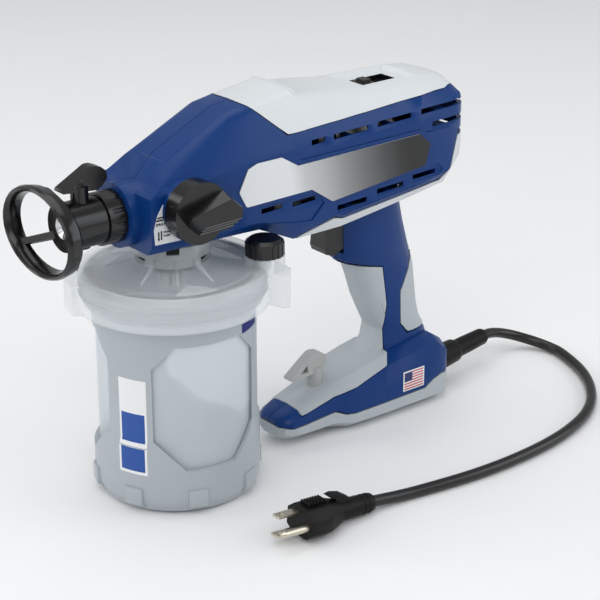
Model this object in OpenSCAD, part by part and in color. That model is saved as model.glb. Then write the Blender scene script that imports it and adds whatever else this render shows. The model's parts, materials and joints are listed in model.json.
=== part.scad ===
// Handheld airless paint sprayer with a screw-on paint cup and a short mains lead.
// Millimetres. The origin is the centre of the cup's base, +Z is up, the nozzle points to -X.

/* [Nozzle] */
// Height of the spray axis above the ground
nozzle_z = 191.5; // [190:0.5:194]
// Radius of the retaining nut
nut_r = 16.5; // [16:0.5:18]
// Length of the retaining nut
nut_len = 12; // [10:0.5:14]
// Half width of the guard's oval ring
guard_half_w = 38; // [34:1:40]
// Half height of the guard's oval ring
guard_half_h = 28; // [26:1:30]
// Radius of the spray tip's barrel
tip_r = 5.5; // [5:0.25:6]

/* [Housing] */
// Half width of the motor housing
body_half = 35; // [34:0.5:37]
// Half width of the flat top
top_half = 21; // [18:1:23]
// How far back the housing's top edges are rounded
edge_round = 5; // [3:0.5:6]
// Wall of the moulded shells
wall = 2.5; // [2:0.25:3]
// Where the rear of the housing ends
rear_x = 220; // [219:1:222]
// Half width of the handle
handle_half = 15; // [14.5:0.5:16]
// Half width of the handle's base
base_half = 24; // [23:1:25]
// Depth of the soft grips
grip_t = 2.8; // [2.5:0.1:3.2]
// Height of a vent slot
slot_h = 3.6; // [3:0.2:4.2]
// Depth of the bands that the vents lie in
band_d = 0.9; // [0.5:0.1:1.2]
// Thickness of the label panels
panel_t = 0.8; // [0.5:0.1:1]

/* [Cup] */
// Outer radius of the cup support above its skirt
support_r = 52; // [51:0.5:53]
// How far the skirt round the foot stands out from the support
skirt_step = 1.5; // [1:0.1:2]
// Wall of the cup support
support_wall = 1.8; // [1.4:0.1:2]
// Wall of the cup liner
liner_wall = 0.8; // [0.6:0.1:1]
// How far the cover's skirt stands out from the support
cover_step = 10.5; // [10:0.1:11.5]
// Height of the cover's lower edge
cover_z = 127.5; // [127:0.5:128]
// How far the cover's grip ear stands out from its skirt
ear_len = 11; // [9:0.5:12]
// Radius of the air valve's cap
valve_cap_r = 12; // [11:0.5:12]

/* [Controls] */
// Radius of the prime and spray knob
knob_r = 19.3; // [18.5:0.1:20]
// Travel of the trigger
trigger_travel = 8; // [5:0.5:8.5]
// Travel of the speed slider
speed_travel = 14; // [10:1:15]
// Width of the trigger
trigger_w = 16; // [14:0.5:17]

/* [Drive] */
// Gear module
gear_m = 0.8; // [0.75:0.05:0.8]
// Teeth on the motor pinion
pinion_n = 12; // [12:1:13]
// Teeth on the driven gear
gear_n = 40; // [38:1:40]
// Radius of the motor's armature
armature_r = 15; // [13:0.5:15]
// Radius of the piston
piston_r = 4; // [3.5:0.25:4.5]

/* [Lead] */
// Radius of the mains lead
cord_r = 3.75; // [3.5:0.05:3.8]

/* [Hidden] */
$fn = 64;
fit = 0.06;      // radial running fit of a shaft or spigot
seat_gap = 0.12; // radial clearance of a piece in its moulded seat
gap = 0.3;       // clearance between pieces that move past each other
eps = 0.5;       // overshoot of a cut

blue = "#284887";
white = "#d6d9d9";
grey = "#a9aeb2";
black = "#1d1d1f";
clear = "#c9d3da";
steel = "#b9bcc0";

// ---- shared form helpers ----

// A closed ring of points from its half profile, which starts and ends on the plane Y = 0
function mirror_ring(half) = concat(half,
    [for (i = [len(half) - 2 : -1 : 1]) [half[i][0], -half[i][1], half[i][2]]]);

// A closed solid lofted through rings that all have the same number of points.
// The end caps are strips, since each ring is symmetric about Y = 0.
module loft(rings) {
    n = len(rings[0]);
    m = len(rings);
    side = [for (i = [0 : m - 2], j = [0 : n - 1]) let (a = i * n + j, b = i * n + (j + 1) % n)
        each [[a, b, b + n], [a, b + n, a + n]]];
    function strip(base, flip) = [for (j = [0 : n / 2 - 1])
        let (a = base + j, b = base + j + 1, c = base + (n - j - 1) % n, d = base + (n - j) % n)
        each j == 0 ? [flip ? [a, c, b] : [a, b, c]]
            : j == n / 2 - 1 ? [flip ? [a, d, b] : [a, b, d]]
            : flip ? [[a, c, b], [a, d, c]] : [[a, b, c], [a, c, d]]];
    polyhedron([for (r = rings) each r],
        concat(side, strip(0, true), strip((m - 1) * n, false)));
}

// A profile in the XZ plane, extruded to both sides of Y = 0
module xz_prism(points, half) {
    translate([0, half, 0]) rotate([90, 0, 0]) linear_extrude(2 * half) polygon(points);
}

// A cylinder along X from x0 to x1
module x_rod(x0, x1, r, z) {
    translate([x0, 0, z]) rotate([0, 90, 0]) cylinder(h = x1 - x0, r = r);
}

// A tube along X from x0 to x1
module x_tube(x0, x1, r, bore, z) {
    difference() {
        x_rod(x0, x1, r, z);
        x_rod(x0 - eps, x1 + eps, bore, z);
    }
}

// A cylinder along Y from y0 to y1 at (x, z)
module y_rod(x, z, y0, y1, r) {
    translate([x, y1, z]) rotate([90, 0, 0]) cylinder(h = y1 - y0, r = r);
}

// ---- outer form of the housing ----

nose_x = -35;           // front face of the pump head
crease_half = body_half - 0.5;
low_z = 177;            // where the side walls turn in to the underside
head_bottom = 171;      // underside of the pump head

// One station of the housing: rounded top edge, crease, wall, lower wall and bottom edge.
// w draws it in for the inner form, xs moves an end station inward.
function body_station(x_top, x, z_top, half_top, z_crease, half_crease, half, z_low, half_bot, z_bot,
        w = 0, xs = 0) =
    let (corner = [x_top + xs, half_top - 0.6 * w, z_top - w],
        crease = [0.4 * x_top + 0.6 * x + xs, half_crease - w, z_crease - 0.3 * w],
        down = (crease - corner) / norm(crease - corner))
    mirror_ring([
    [x_top + xs, 0, z_top + 1 - w],
    for (t = [0 : 3]) corner + edge_round * (pow(t / 3, 2) * down + pow(1 - t / 3, 2) * [0, -1, 1 / half_top]),
    crease,
    [x + xs, half - w, z_crease - 4],
    [x + xs, half - w, z_low],
    [x + xs, half_bot - 0.6 * w, z_bot + w],
    [x + xs, 0, z_bot + w]]);

module body_form(w = 0) {
    loft([
        body_station(-15, nose_x, 223, 19.5, 211, 27, 29.5, 177, 25, head_bottom, w, w),
        body_station(31, 20, 245, top_half - 1, 217, crease_half, body_half, low_z, 29, head_bottom, w),
        body_station(48, 46, 247.5, top_half, 218, crease_half, body_half, low_z, 29, 170, w),
        body_station(70, 73, 250, top_half + 1, 219, crease_half, body_half, 168, 29, 157.5, w),
        body_station(80, 82, 251.5, top_half + 1, 219, crease_half, body_half, 168, 29, 157, w),
        body_station(84, 90, 249, top_half + 1, 219, crease_half, body_half, 168, 29, 157, w),
        body_station(112, 112, 245.5, top_half + 2, 220, crease_half, body_half, 168, 29, 157, w),
        body_station(132, 132, 242.5, top_half + 2, 221, crease_half, body_half, 170, 29, 159.5, w),
        body_station(185, 175, 242, top_half, 222.5, crease_half, body_half, 174, 29, 164.5, w),
        body_station(203, 203, 240.5, top_half - 2, 224, crease_half, body_half - 0.5, 178, 28, 168, w),
        body_station(211, rear_x - 6.5, 238, top_half - 5, 226, crease_half - 4, body_half - 3.5, 186, 24,
            176, w),
        body_station(216, rear_x - 1, 234, top_half - 7, 227, crease_half - 8, body_half - 8, 192, 19, 184, w,
            -w),
        body_station(216.5, rear_x, 232, top_half - 8, 226, crease_half - 10, body_half - 10, 195, 16, 189, w,
            -w)]);
}

// One horizontal section of the handle, a rounded box from x_front to x_rear
function handle_section(z, x_front, x_rear, half, o = 0) =
    let (mid = (x_front + x_rear) / 2, a = (x_rear - x_front) / 2 + o, k = 9)
    mirror_ring([for (i = [0 : k]) let (t = i * 180 / k, c = cos(t), s = sin(t))
        [mid - a * sign(c) * pow(abs(c), 0.8), i == 0 || i == k ? 0 : (half + o) * pow(s, 0.7), z]]);

module handle_form(o = 0) {
    loft([
        handle_section(30 - o, 147, 216, handle_half, o),
        handle_section(44, 151, 214, handle_half, o),
        handle_section(54, 160, 210, handle_half, o),
        handle_section(64, 163, 204.5, handle_half - 0.5, o),
        handle_section(75, 157.5, 201.5, handle_half - 0.5, o),
        handle_section(90, 150.5, 199.5, handle_half, o),
        handle_section(105, 145.5, 197.5, handle_half, o),
        handle_section(115, 141.5, 194.5, handle_half, o),
        handle_section(121, 131.5, 192, handle_half + 2, o),
        handle_section(140, 131, 186.5, handle_half + 2, o),
        handle_section(158, 131, 182, handle_half + 2.5, o),
        handle_section(171.7 + o, 131, 180.5, handle_half + 2.5, o)]);
}

// One cross section of the base and its forward tongue
function base_station(x, half, z_top, z_bot, o = 0, xs = 0) =
    let (top = z_top + o, bottom = z_bot - o, h = top - bottom)
    mirror_ring([
        [x + xs, 0, top + min(0.8, 0.3 * h)],
        [x + xs, 0.7 * half + 0.6 * o, top],
        [x + xs, half + o, top - min(0.22 * half, 0.35 * h)],
        [x + xs, half + o, bottom + min(0.28 * half, 0.45 * h)],
        [x + xs, 0.6 * half + 0.6 * o, bottom],
        [x + xs, 0, bottom]]);

tongue_half = base_half - 7;

module base_form(o = 0) {
    loft([
        base_station(75.5, tongue_half - 7, 19, 8, o, -o),
        base_station(78, tongue_half - 3, 21, 7, o),
        base_station(83, tongue_half - 0.5, 23, 5.5, o),
        base_station(92, tongue_half + 0.5, 26, 4.5, o),
        base_station(118, tongue_half + 1, 35.5, 4, o),
        base_station(133, base_half - 0.5, 41.5, 0.8, o),
        base_station(160, base_half, 47, 0, o),
        base_station(188, base_half, 52, 0, o),
        base_station(206, base_half, 52, 0, o),
        base_station(216, base_half - 1, 45.5, 0, o),
        base_station(222, base_half - 6, 39, 1.5, o),
        base_station(225, base_half - 12, 34, 5, o, o)]);
}

module grip_form(o = 0) {
    handle_form(o);
    base_form(o);
}

// Regions of the form that belong to the separately moulded pieces
module cover_region() {
    xz_prism([[43, 262], [43, 249.5], [67.5, 227.5], [rear_x + 6, 233.2], [rear_x + 6, 262]], 60);
}

module trim_region() {
    xz_prism([[74.5, 150], [76.5, 158.6], [103, 167], [110.5, 164.2], [196, 171.8], [204, 180],
        [211, 200.5], [230, 200.5], [230, 150]], 60);
}

module front_grip_region() {
    xz_prism([[90, 60], [90, 22], [123, 30], [160, 42], [166.5, 48.5], [167.5, 83], [162.5, 112.5],
        [148, 115.5], [128, 121], [90, 121]], 60);
}

module rear_grip_region() {
    xz_prism([[192.5, 116], [185.5, 103], [178.5, 90], [180, 65], [186, 57], [230, 57], [230, 116]], 60);
}

module bumper_region() {
    xz_prism([[60, -5], [60, 19.5], [84, 15], [119.5, 17.8], [127, 14.6], [196, 15.3], [204, 20], [212, 22],
        [240, 22], [240, -5]], 60);
}

// ---- places that several pieces share ----

wall_tilt = atan((body_half - 29.5) / (20 - nose_x));   // the head's side wall opens to the rear
knob_x = -10;
knob_z = 198;
knob_boss_y = body_half;               // seat of the knob, on a boss of the left shell
collar_r = 20.5;
flange_r = 13;          // flange of the outlet fitting
collar_x = -42;
inlet_r = 14;
motor_z = 206;
gear_gap = 0.15;
pitch_sum = gear_m * (pinion_n + gear_n) / 2 + gear_gap;
gear_z = motor_z - pitch_sum;
cam_x = 50;
cam_r = 8;
cam_offset = 3.5;
cam_rest = 27;          // turn of the cam from its low point at rest
cam_gap = 0.6;
foot_z = gear_z + cam_offset + cam_r + cam_gap;     // underside of the piston's foot, at its high point
stator_r = 27;
stator_x = 112;
stator_len = 48;
brush_x = stator_x + stator_len + 5.5;
fan_x = brush_x + 14.5;
bearing_x = fan_x + 12;
bearing_r = 9.5;
bracket_rear = 98;
bracket_front = 62;
trigger_front = 117;
trigger_top = 155;
trigger_low = 127;
screw_places = [[-14, 216], [8, 226], [76, 221], [38.4, 181], [118, 173.5], [170, 176.5], [207, 190],
    [158, 119], [173, 74], [208, 30], [100, 15]];
nut_x0 = collar_x - gap - nut_len;      // front face of the nut
tip_x = -65.5;
guard_r = 15;
relief_z = 19.2;
relief_x = 225;
spare_x = 114.6;
relief_turn = 9;

// ---- housing shells ----

// [from X, to X, centre height at the front, height of its scoop below the slot]
vents = [[85, 96, 219.6, 4.5], [103, 131.5, 219.9, 4.5], [139.5, 168.5, 221.1, 4.5],
    [177.2, 214, 222.3, 4], [187.5, 212, 212.1, 2.5], [45, 61, 183.2, 5], [69.5, 88, 182.6, 5],
    [106.5, 131, 172, 2.5], [140, 162.6, 175.8, 2.5], [171, 191, 178.9, 2.5]];
rear_lips = [202.6, 212.1, 222.3];

// Recessed bands of the side wall, one above the panel and two below it
module side_bands() {
    for (outline = [
            [[64, 224], [75.5, 210.6], [176, 211], [181, 208], [205, 208], [205, 226.4], [90, 224.6]],
            [[40.6, 187.4], [39.8, 180], [44, 175.8], [70, 170.5], [84, 169], [94, 178.6], [88.2, 187.2]],
            [[104.4, 177.2], [101.6, 172.6], [108.5, 166.8], [190, 174.4], [196.5, 180], [192, 184.8],
                [180.5, 184.2]]])
        for (side = [-1, 1]) translate([0, side * (body_half + 4), 0]) rotate([90, 0, 0])
            linear_extrude(2 * (band_d + 4), center = true) polygon(outline);
}

// A block between two upright frames of [x0, x1, z0, z1], one at ya and a larger one at yb
module taper_block(a, ya, b, yb) {
    polyhedron([[a[0], ya, a[2]], [a[1], ya, a[2]], [a[1], ya, a[3]], [a[0], ya, a[3]],
        [b[0], yb, b[2]], [b[1], yb, b[2]], [b[1], yb, b[3]], [b[0], yb, b[3]]],
        [[0, 3, 2, 1], [4, 5, 6, 7], [0, 1, 5, 4], [3, 7, 6, 2], [7, 3, 0, 4], [2, 6, 5, 1]]);
}

// One vent: a scoop that slopes in from below and from the rear, and a slot through the wall
module vent(x0, x1, z, scoop) {
    w = x1 - x0;
    h = slot_h / 2;
    translate([x0, 0, z]) rotate([0, -1.5, 0]) {
        translate([0, -body_half - 5, -h]) cube([w, 2 * body_half + 10, slot_h]);
        for (side = [0, 1]) mirror([0, side, 0])
            taper_block([-0.5, w + 0.5, -h - 0.5, h + 0.1], body_half - 2.1,
                [-2, w + 5, -h - 1.3 * scoop, h + 0.4], body_half + 1);
    }
}

module vent_slots() {
    side_bands();
    for (v = vents) vent(v[0], v[1], v[2], v[3]);
    // louvres round the rear end
    for (z = rear_lips) translate([rear_x - 9, -body_half, z - 1.5]) cube([20, 2 * body_half, 3]);
}

module hand_opening() {
    // pocket behind the trigger, and the slot its slide runs in
    translate([trigger_front, -trigger_w / 2 - gap, trigger_low - gap])
        cube([150 - trigger_front, trigger_w + 2 * gap, trigger_top - trigger_low + 2 * gap]);
}

module shell_outer() {
    difference() {
        union() {
            body_form();
            handle_form();
        }
        cover_region();
        difference() {
            trim_region();
            handle_form();
        }
    }
    base_form();
    x_rod(collar_x, -20, collar_r, nozzle_z);
    y_rod(knob_x, knob_z, -knob_boss_y, -20, knob_r - 2);
}

module shell_grip_layers() {
    difference() {
        union() {
            front_grip_region();
            rear_grip_region();
            bumper_region();
        }
        grip_form(-grip_t);
        translate([collar_x, -60, 125]) cube([400, 120, 200]);
    }
}

// Ribs that cradle the motor, the bracket and the switch, cut to their outlines
module shell_ribs() {
    intersection() {
        body_form(wall - 0.5);
        difference() {
            union() {
                for (x = [116, 150]) translate([x, -60, 150]) cube([3, 120, 82]);
                translate([191, -60, 150]) cube([9, 120, 82]);
            }
            x_rod(110, 162, stator_r - 1.5, motor_z);
            x_rod(160, 190.8, stator_r, motor_z);
        }
    }
}

module screw_bosses(side) {
    for (p = screw_places) y_rod(p[0], p[1], side < 0 ? -60 : 0, side < 0 ? 0 : 60, 3.8);
}

module shell_side(side) {
    translate([-60, side < 0 ? -60 : 0, -10]) cube([400, 60, 300]);
}

// One half of the moulded shell with its ribs and bosses, before it is bored
module shell_skin(side) {
    difference() {
        union() {
            difference() {
                intersection() {
                    shell_outer();
                    shell_side(side);
                }
                body_form(wall);
                handle_form(-2 * wall);
                base_form(-2 * wall);
            }
            intersection() {
                union() {
                    shell_ribs();
                    screw_bosses(side);
                    translate([spare_x, 0, 5]) cylinder(h = 45, r = tip_r + 2.5);
                }
                shell_side(side);
                union() {
                    body_form(wall / 2);
                    grip_form(-grip_t - 0.2);
                }
            }
        }
        shell_grip_layers();
        cover_region();
        difference() {
            trim_region();
            body_form(wall);
            handle_form();
        }
        vent_slots();
        hand_opening();
        translate([0, 0, 160]) cylinder(h = head_bottom - 160, r = 30);
        // room for the trigger switch
        translate([148.5, -9, 128]) cube([24, 18, 26]);
    }
}

module shell_half(side) {
    difference() {
        minkowski() shell_skin(side, $fn = 24);
        // seats of the motor and its rear bearing, and bores for the fittings
        x_rod(stator_x - 1, stator_x + stator_len + 1, stator_r + seat_gap, motor_z);
        x_rod(bearing_x - 2, bearing_x + 9, bearing_r + seat_gap, motor_z);
        x_rod(collar_x - eps, -20, flange_r, nozzle_z);
        translate([0, 0, 150]) cylinder(h = 60, r = inlet_r + fit);
        if (side < 0) y_rod(knob_x, knob_z, -60, -10, 8);
        x_rod(relief_x - 8, relief_x + 5, 7, relief_z);
        for (p = screw_places) {
            y_rod(p[0], p[1], side < 0 ? -9.5 : -1, side < 0 ? 1 : 11, 1.7);
            if (side > 0) y_rod(p[0], p[1], 10, 60, 3.7);
        }
        // socket of the spare tip
        translate([spare_x, 0, 12]) cylinder(h = 40, r = tip_r + fit);
    }
}

module housing_left() {
    color(blue) shell_half(-1);
}

module housing_right() {
    color(blue) shell_half(1);
}

module top_cover() {
    color(white) difference() {
        union() {
            difference() {
                union() {
                    intersection() {
                        body_form();
                        cover_region();
                    }
                    // low lip across the front of the hand rest
                    intersection() {
                        translate([0, 0, 0.8]) body_form();
                        xz_block(79, 81, top_half + 1, 245, 256);
                    }
                }
                body_form(wall);
            }
            // thicker floor under the slider's tray
            intersection() {
                xz_block(135, 190, 20, tray_z - 3, tray_z + 1);
                body_form(wall / 2);
            }
        }
        speed_window();
    }
}

window_x0 = 149;
window_x1 = 177;
window_half = 7;
tray_z = 239.6;

module speed_window() {
    // a shallow tray with the slider's slot in its floor
    hull() {
        translate([137, -19, tray_z + 4.5]) cube([52, 38, 1]);
        translate([142, -14.5, tray_z]) cube([42, 29, 1]);
    }
    translate([window_x0, -window_half, 230]) cube([window_x1 - window_x0, 2 * window_half, 30]);
}

module underside_trim() {
    color(white) minkowski() difference() {
        intersection() {
            body_form();
            trim_region();
        }
        body_form(wall);
        handle_form();
        hand_opening();
    }
}

module grip_piece() {
    minkowski() difference() {
        intersection() {
            grip_form();
            children();
        }
        grip_form(-grip_t);
        hand_opening();
    }
}

module front_grip() {
    color(grey) difference() {
        grip_piece() front_grip_region();
        translate([spare_x, 0, 12]) cylinder(h = 40, r = tip_r + fit);
    }
}

module rear_grip() {
    color(grey) grip_piece() rear_grip_region();
}

module base_bumper() {
    color(grey) difference() {
        grip_piece() bumper_region();
        x_rod(relief_x - 8, relief_x + 5, 7, relief_z);
    }
}

// The long panel on the side of the motor housing, left bare
module label_panel() {
    color(white) translate([0, -body_half, 0]) rotate([90, 0, 0]) linear_extrude(panel_t)
        offset(r = 2) offset(delta = -2)
        polygon([[26, 200], [33, 213.5], [40, 216], [59, 216], [72, 208], [174, 208.5], [184, 200],
            [179.5, 186], [100, 178.5], [83, 190], [31.5, 189.5]]);
}

// The knob's plate beside the pump head
module selector_plate() {
    color(white) translate([nose_x, -29.5, 0]) rotate([0, 0, -wall_tilt]) rotate([90, 0, 0])
        linear_extrude(panel_t) difference() {
            polygon([[2, 178.5], [1.5, 188], [4, 196.7], [10.5, 206.5], [14, 207.5], [21, 203], [21, 178.5]]);
            translate([knob_x - nose_x + 0.1, knob_z]) circle(knob_r - 1.7);
        }
}

module housing_screws() {
    color(steel) for (p = screw_places) {
        y_rod(p[0], p[1], 10, 12.2, 3.4);
        y_rod(p[0], p[1], -9, 10, 1.65);
    }
}

// ---- motor ----

module motor_stator() {
    color(steel) difference() {
        x_rod(stator_x, stator_x + stator_len, stator_r, motor_z);
        x_rod(stator_x - 1, stator_x + stator_len + 1, armature_r + 0.6, motor_z);
        for (a = [45 : 90 : 315]) translate([stator_x - 1, 0, motor_z]) rotate([a, 0, 0])
            translate([0, -5, 19]) cube([stator_len + 2, 10, 4]);
    }
}

module armature() {
    color(steel) {
        difference() {
            x_rod(stator_x, stator_x + stator_len, armature_r, motor_z);
            for (a = [0 : 30 : 330]) translate([stator_x - 1, 0, motor_z]) rotate([a, 0, 0])
                translate([0, -1, armature_r - 5]) cube([stator_len + 2, 2, 6]);
        }
        x_rod(84, 98, 3, motor_z);
        x_rod(97, bearing_x + 8, 4, motor_z);
        x_rod(brush_x - 1.5, brush_x + 10.5, 10, motor_z);
    }
}

module cooling_fan() {
    color(black) {
        x_tube(fan_x, fan_x + 9, 7, 4, motor_z);
        difference() {
            x_rod(fan_x + 7.4, fan_x + 9, stator_r - 2.5, motor_z);
            x_rod(fan_x + 7, fan_x + 10, 6, motor_z);
        }
        for (a = [0 : 30 : 330]) translate([fan_x, 0, motor_z]) rotate([a, 0, 0])
            translate([0, -0.6, 6.5]) cube([8, 1.2, stator_r - 11]);
    }
}

module brush_holders() {
    color(black) for (s = [-1, 1]) {
        translate([brush_x, s < 0 ? -27 : 10 + gap / 2, motor_z - 4.5]) cube([9, 17 - gap / 2, 9]);
        translate([stator_x + stator_len, s < 0 ? -26.5 : 18, motor_z - 3]) cube([6, 8.5, 6]);
    }
}

module front_bearing() {
    color(steel) x_tube(bracket_rear, bracket_rear + 6, bearing_r, 4 + fit, motor_z);
}

module rear_bearing() {
    color(steel) x_tube(bearing_x, bearing_x + 7, bearing_r, 4 + fit, motor_z);
}

// ---- gears, cam and piston ----

// An involute-like tooth outline, cut back a little so the pair runs free
module gear_profile(n) {
    pitch = gear_m * n / 2;
    half = 90 / n;
    union() {
        circle(pitch - 1.15 * gear_m);
        for (i = [0 : n - 1]) rotate(i * 360 / n) polygon([
            for (s = [[pitch - 1.4 * gear_m, -0.72], [pitch, -0.42], [pitch + 0.8 * gear_m, -0.18],
                    [pitch + 0.8 * gear_m, 0.18], [pitch, 0.42], [pitch - 1.4 * gear_m, 0.72]])
                s[0] * [cos(2 * half * s[1]), sin(2 * half * s[1])]]);
    }
}

module motor_pinion() {
    color(steel) translate([84, 0, motor_z]) rotate([0, 90, 0]) linear_extrude(12) difference() {
        gear_profile(pinion_n);
        circle(3);
    }
}

module drive_gear() {
    color(steel) translate([86, 0, gear_z]) rotate([0, 90, 0]) rotate(180 / gear_n) linear_extrude(8)
        difference() {
            gear_profile(gear_n);
            circle(5);
            for (a = [0 : 60 : 300]) rotate(a + 15) translate([10.5, 0]) circle(2.5);
        }
}

// Gear shaft with the eccentric cam that lifts the piston, near the low end of its turn
module cam_shaft() {
    color(steel) {
        x_rod(cam_x + 5, bracket_front - 1, 4.2, gear_z);
        x_rod(bracket_front - 1.5, 104, 5, gear_z);
        translate([0, 0, gear_z]) rotate([cam_rest, 0, 0]) x_rod(cam_x - 5, cam_x + 6, cam_r, -cam_offset);
    }
}

module gear_bearing() {
    color(steel) for (x = [bracket_front, bracket_rear])
        x_tube(x, x + 6, 7.5, 5 + fit, gear_z);
}

module gear_bracket() {
    color(grey) difference() {
        union() {
            for (x = [bracket_front, bracket_rear])
                xz_block(x, x + 6, 24, 172.5, motor_z + 13);
            for (s = [-24, 19]) translate([bracket_front + 1, s, gear_z - 6])
                cube([bracket_rear - bracket_front, 5, 12]);
        }
        x_rod(bracket_rear - 1, bracket_rear + 7, bearing_r, motor_z);
        x_rod(bracket_front - 1, bracket_front + 7, 6.5, motor_z);
        x_rod(bracket_front - 1, bracket_rear + 7, 7.5, gear_z);
    }
}

module xz_block(x0, x1, half, z0, z1) {
    translate([x0, -half, z0]) cube([x1 - x0, 2 * half, z1 - z0]);
}

tower_low = 212;

module piston() {
    color(steel) translate([cam_x, 0, foot_z]) {
        cylinder(h = 3, r = 8);
        cylinder(h = 33, r = piston_r);
    }
}

spring_turns = 3;
spring_wire = 0.8;
spring_z0 = foot_z + 3 + spring_wire;
spring_z1 = tower_low - spring_wire;

// Return spring of the piston: one six-sided wire wound about the piston
module piston_spring() {
    steps = 12 * spring_turns;
    r = piston_r + 2.6;
    rings = [for (i = [0 : steps]) let (t = i * 30, z = spring_z0 + (spring_z1 - spring_z0) * i / steps)
        [for (j = [0 : 5]) let (q = r + spring_wire * cos(j * 60))
            [cam_x + q * cos(t), q * sin(t), z + spring_wire * sin(j * 60)]]];
    color(steel) sweep(rings);
}

// A tube through rings of points, closed at both ends
module sweep(rings) {
    n = len(rings[0]);
    m = len(rings);
    polyhedron([for (r = rings) each r], concat(
        [for (i = [0 : m - 2], j = [0 : n - 1]) let (a = i * n + j, b = i * n + (j + 1) % n)
            each [[a, b, b + n], [a, b + n, a + n]]],
        [[for (j = [n - 1 : -1 : 0]) j]], [[for (j = [0 : n - 1]) (m - 1) * n + j]]));
}

// ---- pump head ----

block_bottom = 176;

module pump_block() {
    color(grey) difference() {
        xz_prism([[-26, block_bottom], [34, block_bottom], [34, 206], [39, tower_low], [62, tower_low],
            [62, 237], [36, 237], [13, 208], [-26, 208]], 14);
        x_rod(-27, 28, 4, nozzle_z);
        translate([0, 0, block_bottom - 1]) cylinder(h = nozzle_z - block_bottom + 1, r = 5);
        translate([cam_x, 0, tower_low - 1]) cylinder(h = 22.5, r = piston_r + fit);
        y_rod(knob_x, knob_z, -15, 0, 5 + fit);
    }
}

module inlet_fitting() {
    color(black) difference() {
        union() {
            translate([0, 0, head_bottom + wall]) cylinder(h = block_bottom - head_bottom - wall, r = 20);
            translate([0, 0, 149]) cylinder(h = 27, r = inlet_r);
            // bayonet lugs that hold the cup cover
            for (a = [0, 120, 240]) rotate(lug_turn + a)
                translate([inlet_r - 2, -5, 156.6]) cube([9.2, 10, 3.2]);
        }
        translate([0, 0, 148]) cylinder(h = 40, r = 5);
        translate([0, 0, 148]) cylinder(h = 4, r = 10);
    }
}

module inlet_filter() {
    color(white) difference() {
        union() {
            translate([0, 0, 136]) cylinder(h = 14, r = 9);
            translate([0, 0, 149]) cylinder(h = 3, r = 10);
        }
        translate([0, 0, 137.2]) cylinder(h = 20, r = 7.6);
        for (a = [0 : 45 : 135]) rotate(a) translate([-12, -1, 139]) cube([24, 2, 8]);
    }
}

module outlet_fitting() {
    color(steel) difference() {
        union() {
            x_rod(collar_x + 3, -26, flange_r, nozzle_z);
            x_rod(collar_x - 6, collar_x + 4, 9.9, nozzle_z);
        }
        x_rod(collar_x - 8, -20, 4, nozzle_z);
    }
}

module prime_stem() {
    color(steel) {
        y_rod(knob_x, knob_z, -14, -1, 5);
        y_rod(knob_x, knob_z, -knob_boss_y - 4, -14, 4);
    }
}

// Prime and spray knob: a disc with a raised pointer bar
module prime_knob() {
    y0 = knob_boss_y + gap;
    color(black) difference() {
        union() {
            y_rod(knob_x, knob_z, -y0 - 11.5, -y0, knob_r);
            hull() {
                knob_plate(y0 + 7, [[-13, 4], [15, 13], [24.5, 4], [26, -10], [22, -15.5], [-2, -16],
                    [-10, -9]]);
                knob_plate(y0 + 19.5, [[-13.5, 2.5], [15, 8.5], [23.5, 1], [23, -5], [-5.5, -5.5]]);
            }
        }
        y_rod(knob_x, knob_z, -y0 - 4 + gap, 1, 4);
    }
}

// A thin slice of the knob's bar, at a distance of y from the centre plane
module knob_plate(y, points) {
    translate([knob_x, -y, knob_z]) rotate([90, 0, 0]) linear_extrude(1) polygon(points);
}

// ---- trigger and controls ----

module trigger() {
    half = trigger_w / 2;
    color(black) {
        translate([0, half, 0]) rotate([90, 0, 0]) linear_extrude(trigger_w) polygon([
            [trigger_front, 133], [trigger_front + 1, 140], [trigger_front, trigger_top],
            [140, trigger_top], [140, 131], [132, 130], [125, trigger_low], [118.5, trigger_low + 2]]);
        x_rod(139, 151, 2.5, 145);
    }
}

module trigger_switch() {
    color(black) difference() {
        translate([149, -8.5, 128.5]) cube([23, 17, 25]);
        x_rod(148, 163, 2.5 + fit, 145);
    }
}

module speed_slider() {
    color(black) {
        translate([window_x0 + 1, -window_half + gap, tray_z - 2.9]) cube([11, 2 * (window_half - gap), 2.6]);
        translate([window_x0 + 3.5, -4, tray_z - 1]) cube([6, 8, 3]);
    }
}

module speed_control() {
    color("#2c2d31") translate([window_x0 - 3, -11, tray_z - 6.2]) cube([34, 22, 3]);
}

// ---- nozzle group ----

module retaining_nut() {
    color(black) difference() {
        x_rod(nut_x0, collar_x - gap, nut_r, nozzle_z);
        x_rod(nut_x0 - eps, collar_x + eps, 10, nozzle_z);
        for (a = [0 : 30 : 330]) translate([nut_x0 + 3, 0, nozzle_z]) rotate([a, 0, 0])
            translate([0, 0, nut_r + 1.2]) rotate([0, 90, 0]) cylinder(h = nut_len, r = 2, $fn = 24);
    }
}

guard_front = -96.5;
guard_rear = -86.5;
guard_z = nozzle_z + 0.8;
stations = 36;

// Oval front ring of the guard, a thick rounded band about the spray axis
module guard_ring() {
    band = [[guard_front, 3], [guard_front - 0.8, 2], [guard_front + 0.2, 0.7], [guard_front + 2.5, 0],
        [guard_rear - 1.5, 1.2], [guard_rear, 2.6], [guard_rear, 4.6], [guard_rear - 2, 5.2],
        [guard_front + 2, 4.2]];
    n = len(band);
    polyhedron([for (i = [0 : stations - 1], b = band) let (t = i * 360 / stations)
        [b[0], (guard_half_w - b[1]) * cos(t), guard_z + (guard_half_h - b[1]) * sin(t)]],
        [for (i = [0 : stations - 1], j = [0 : n - 1])
            let (a = i * n + j, b = i * n + (j + 1) % n, k = (i + 1) % stations,
                c = k * n + (j + 1) % n, d = k * n + j)
            each [[a, b, c], [a, c, d]]]);
}

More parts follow.
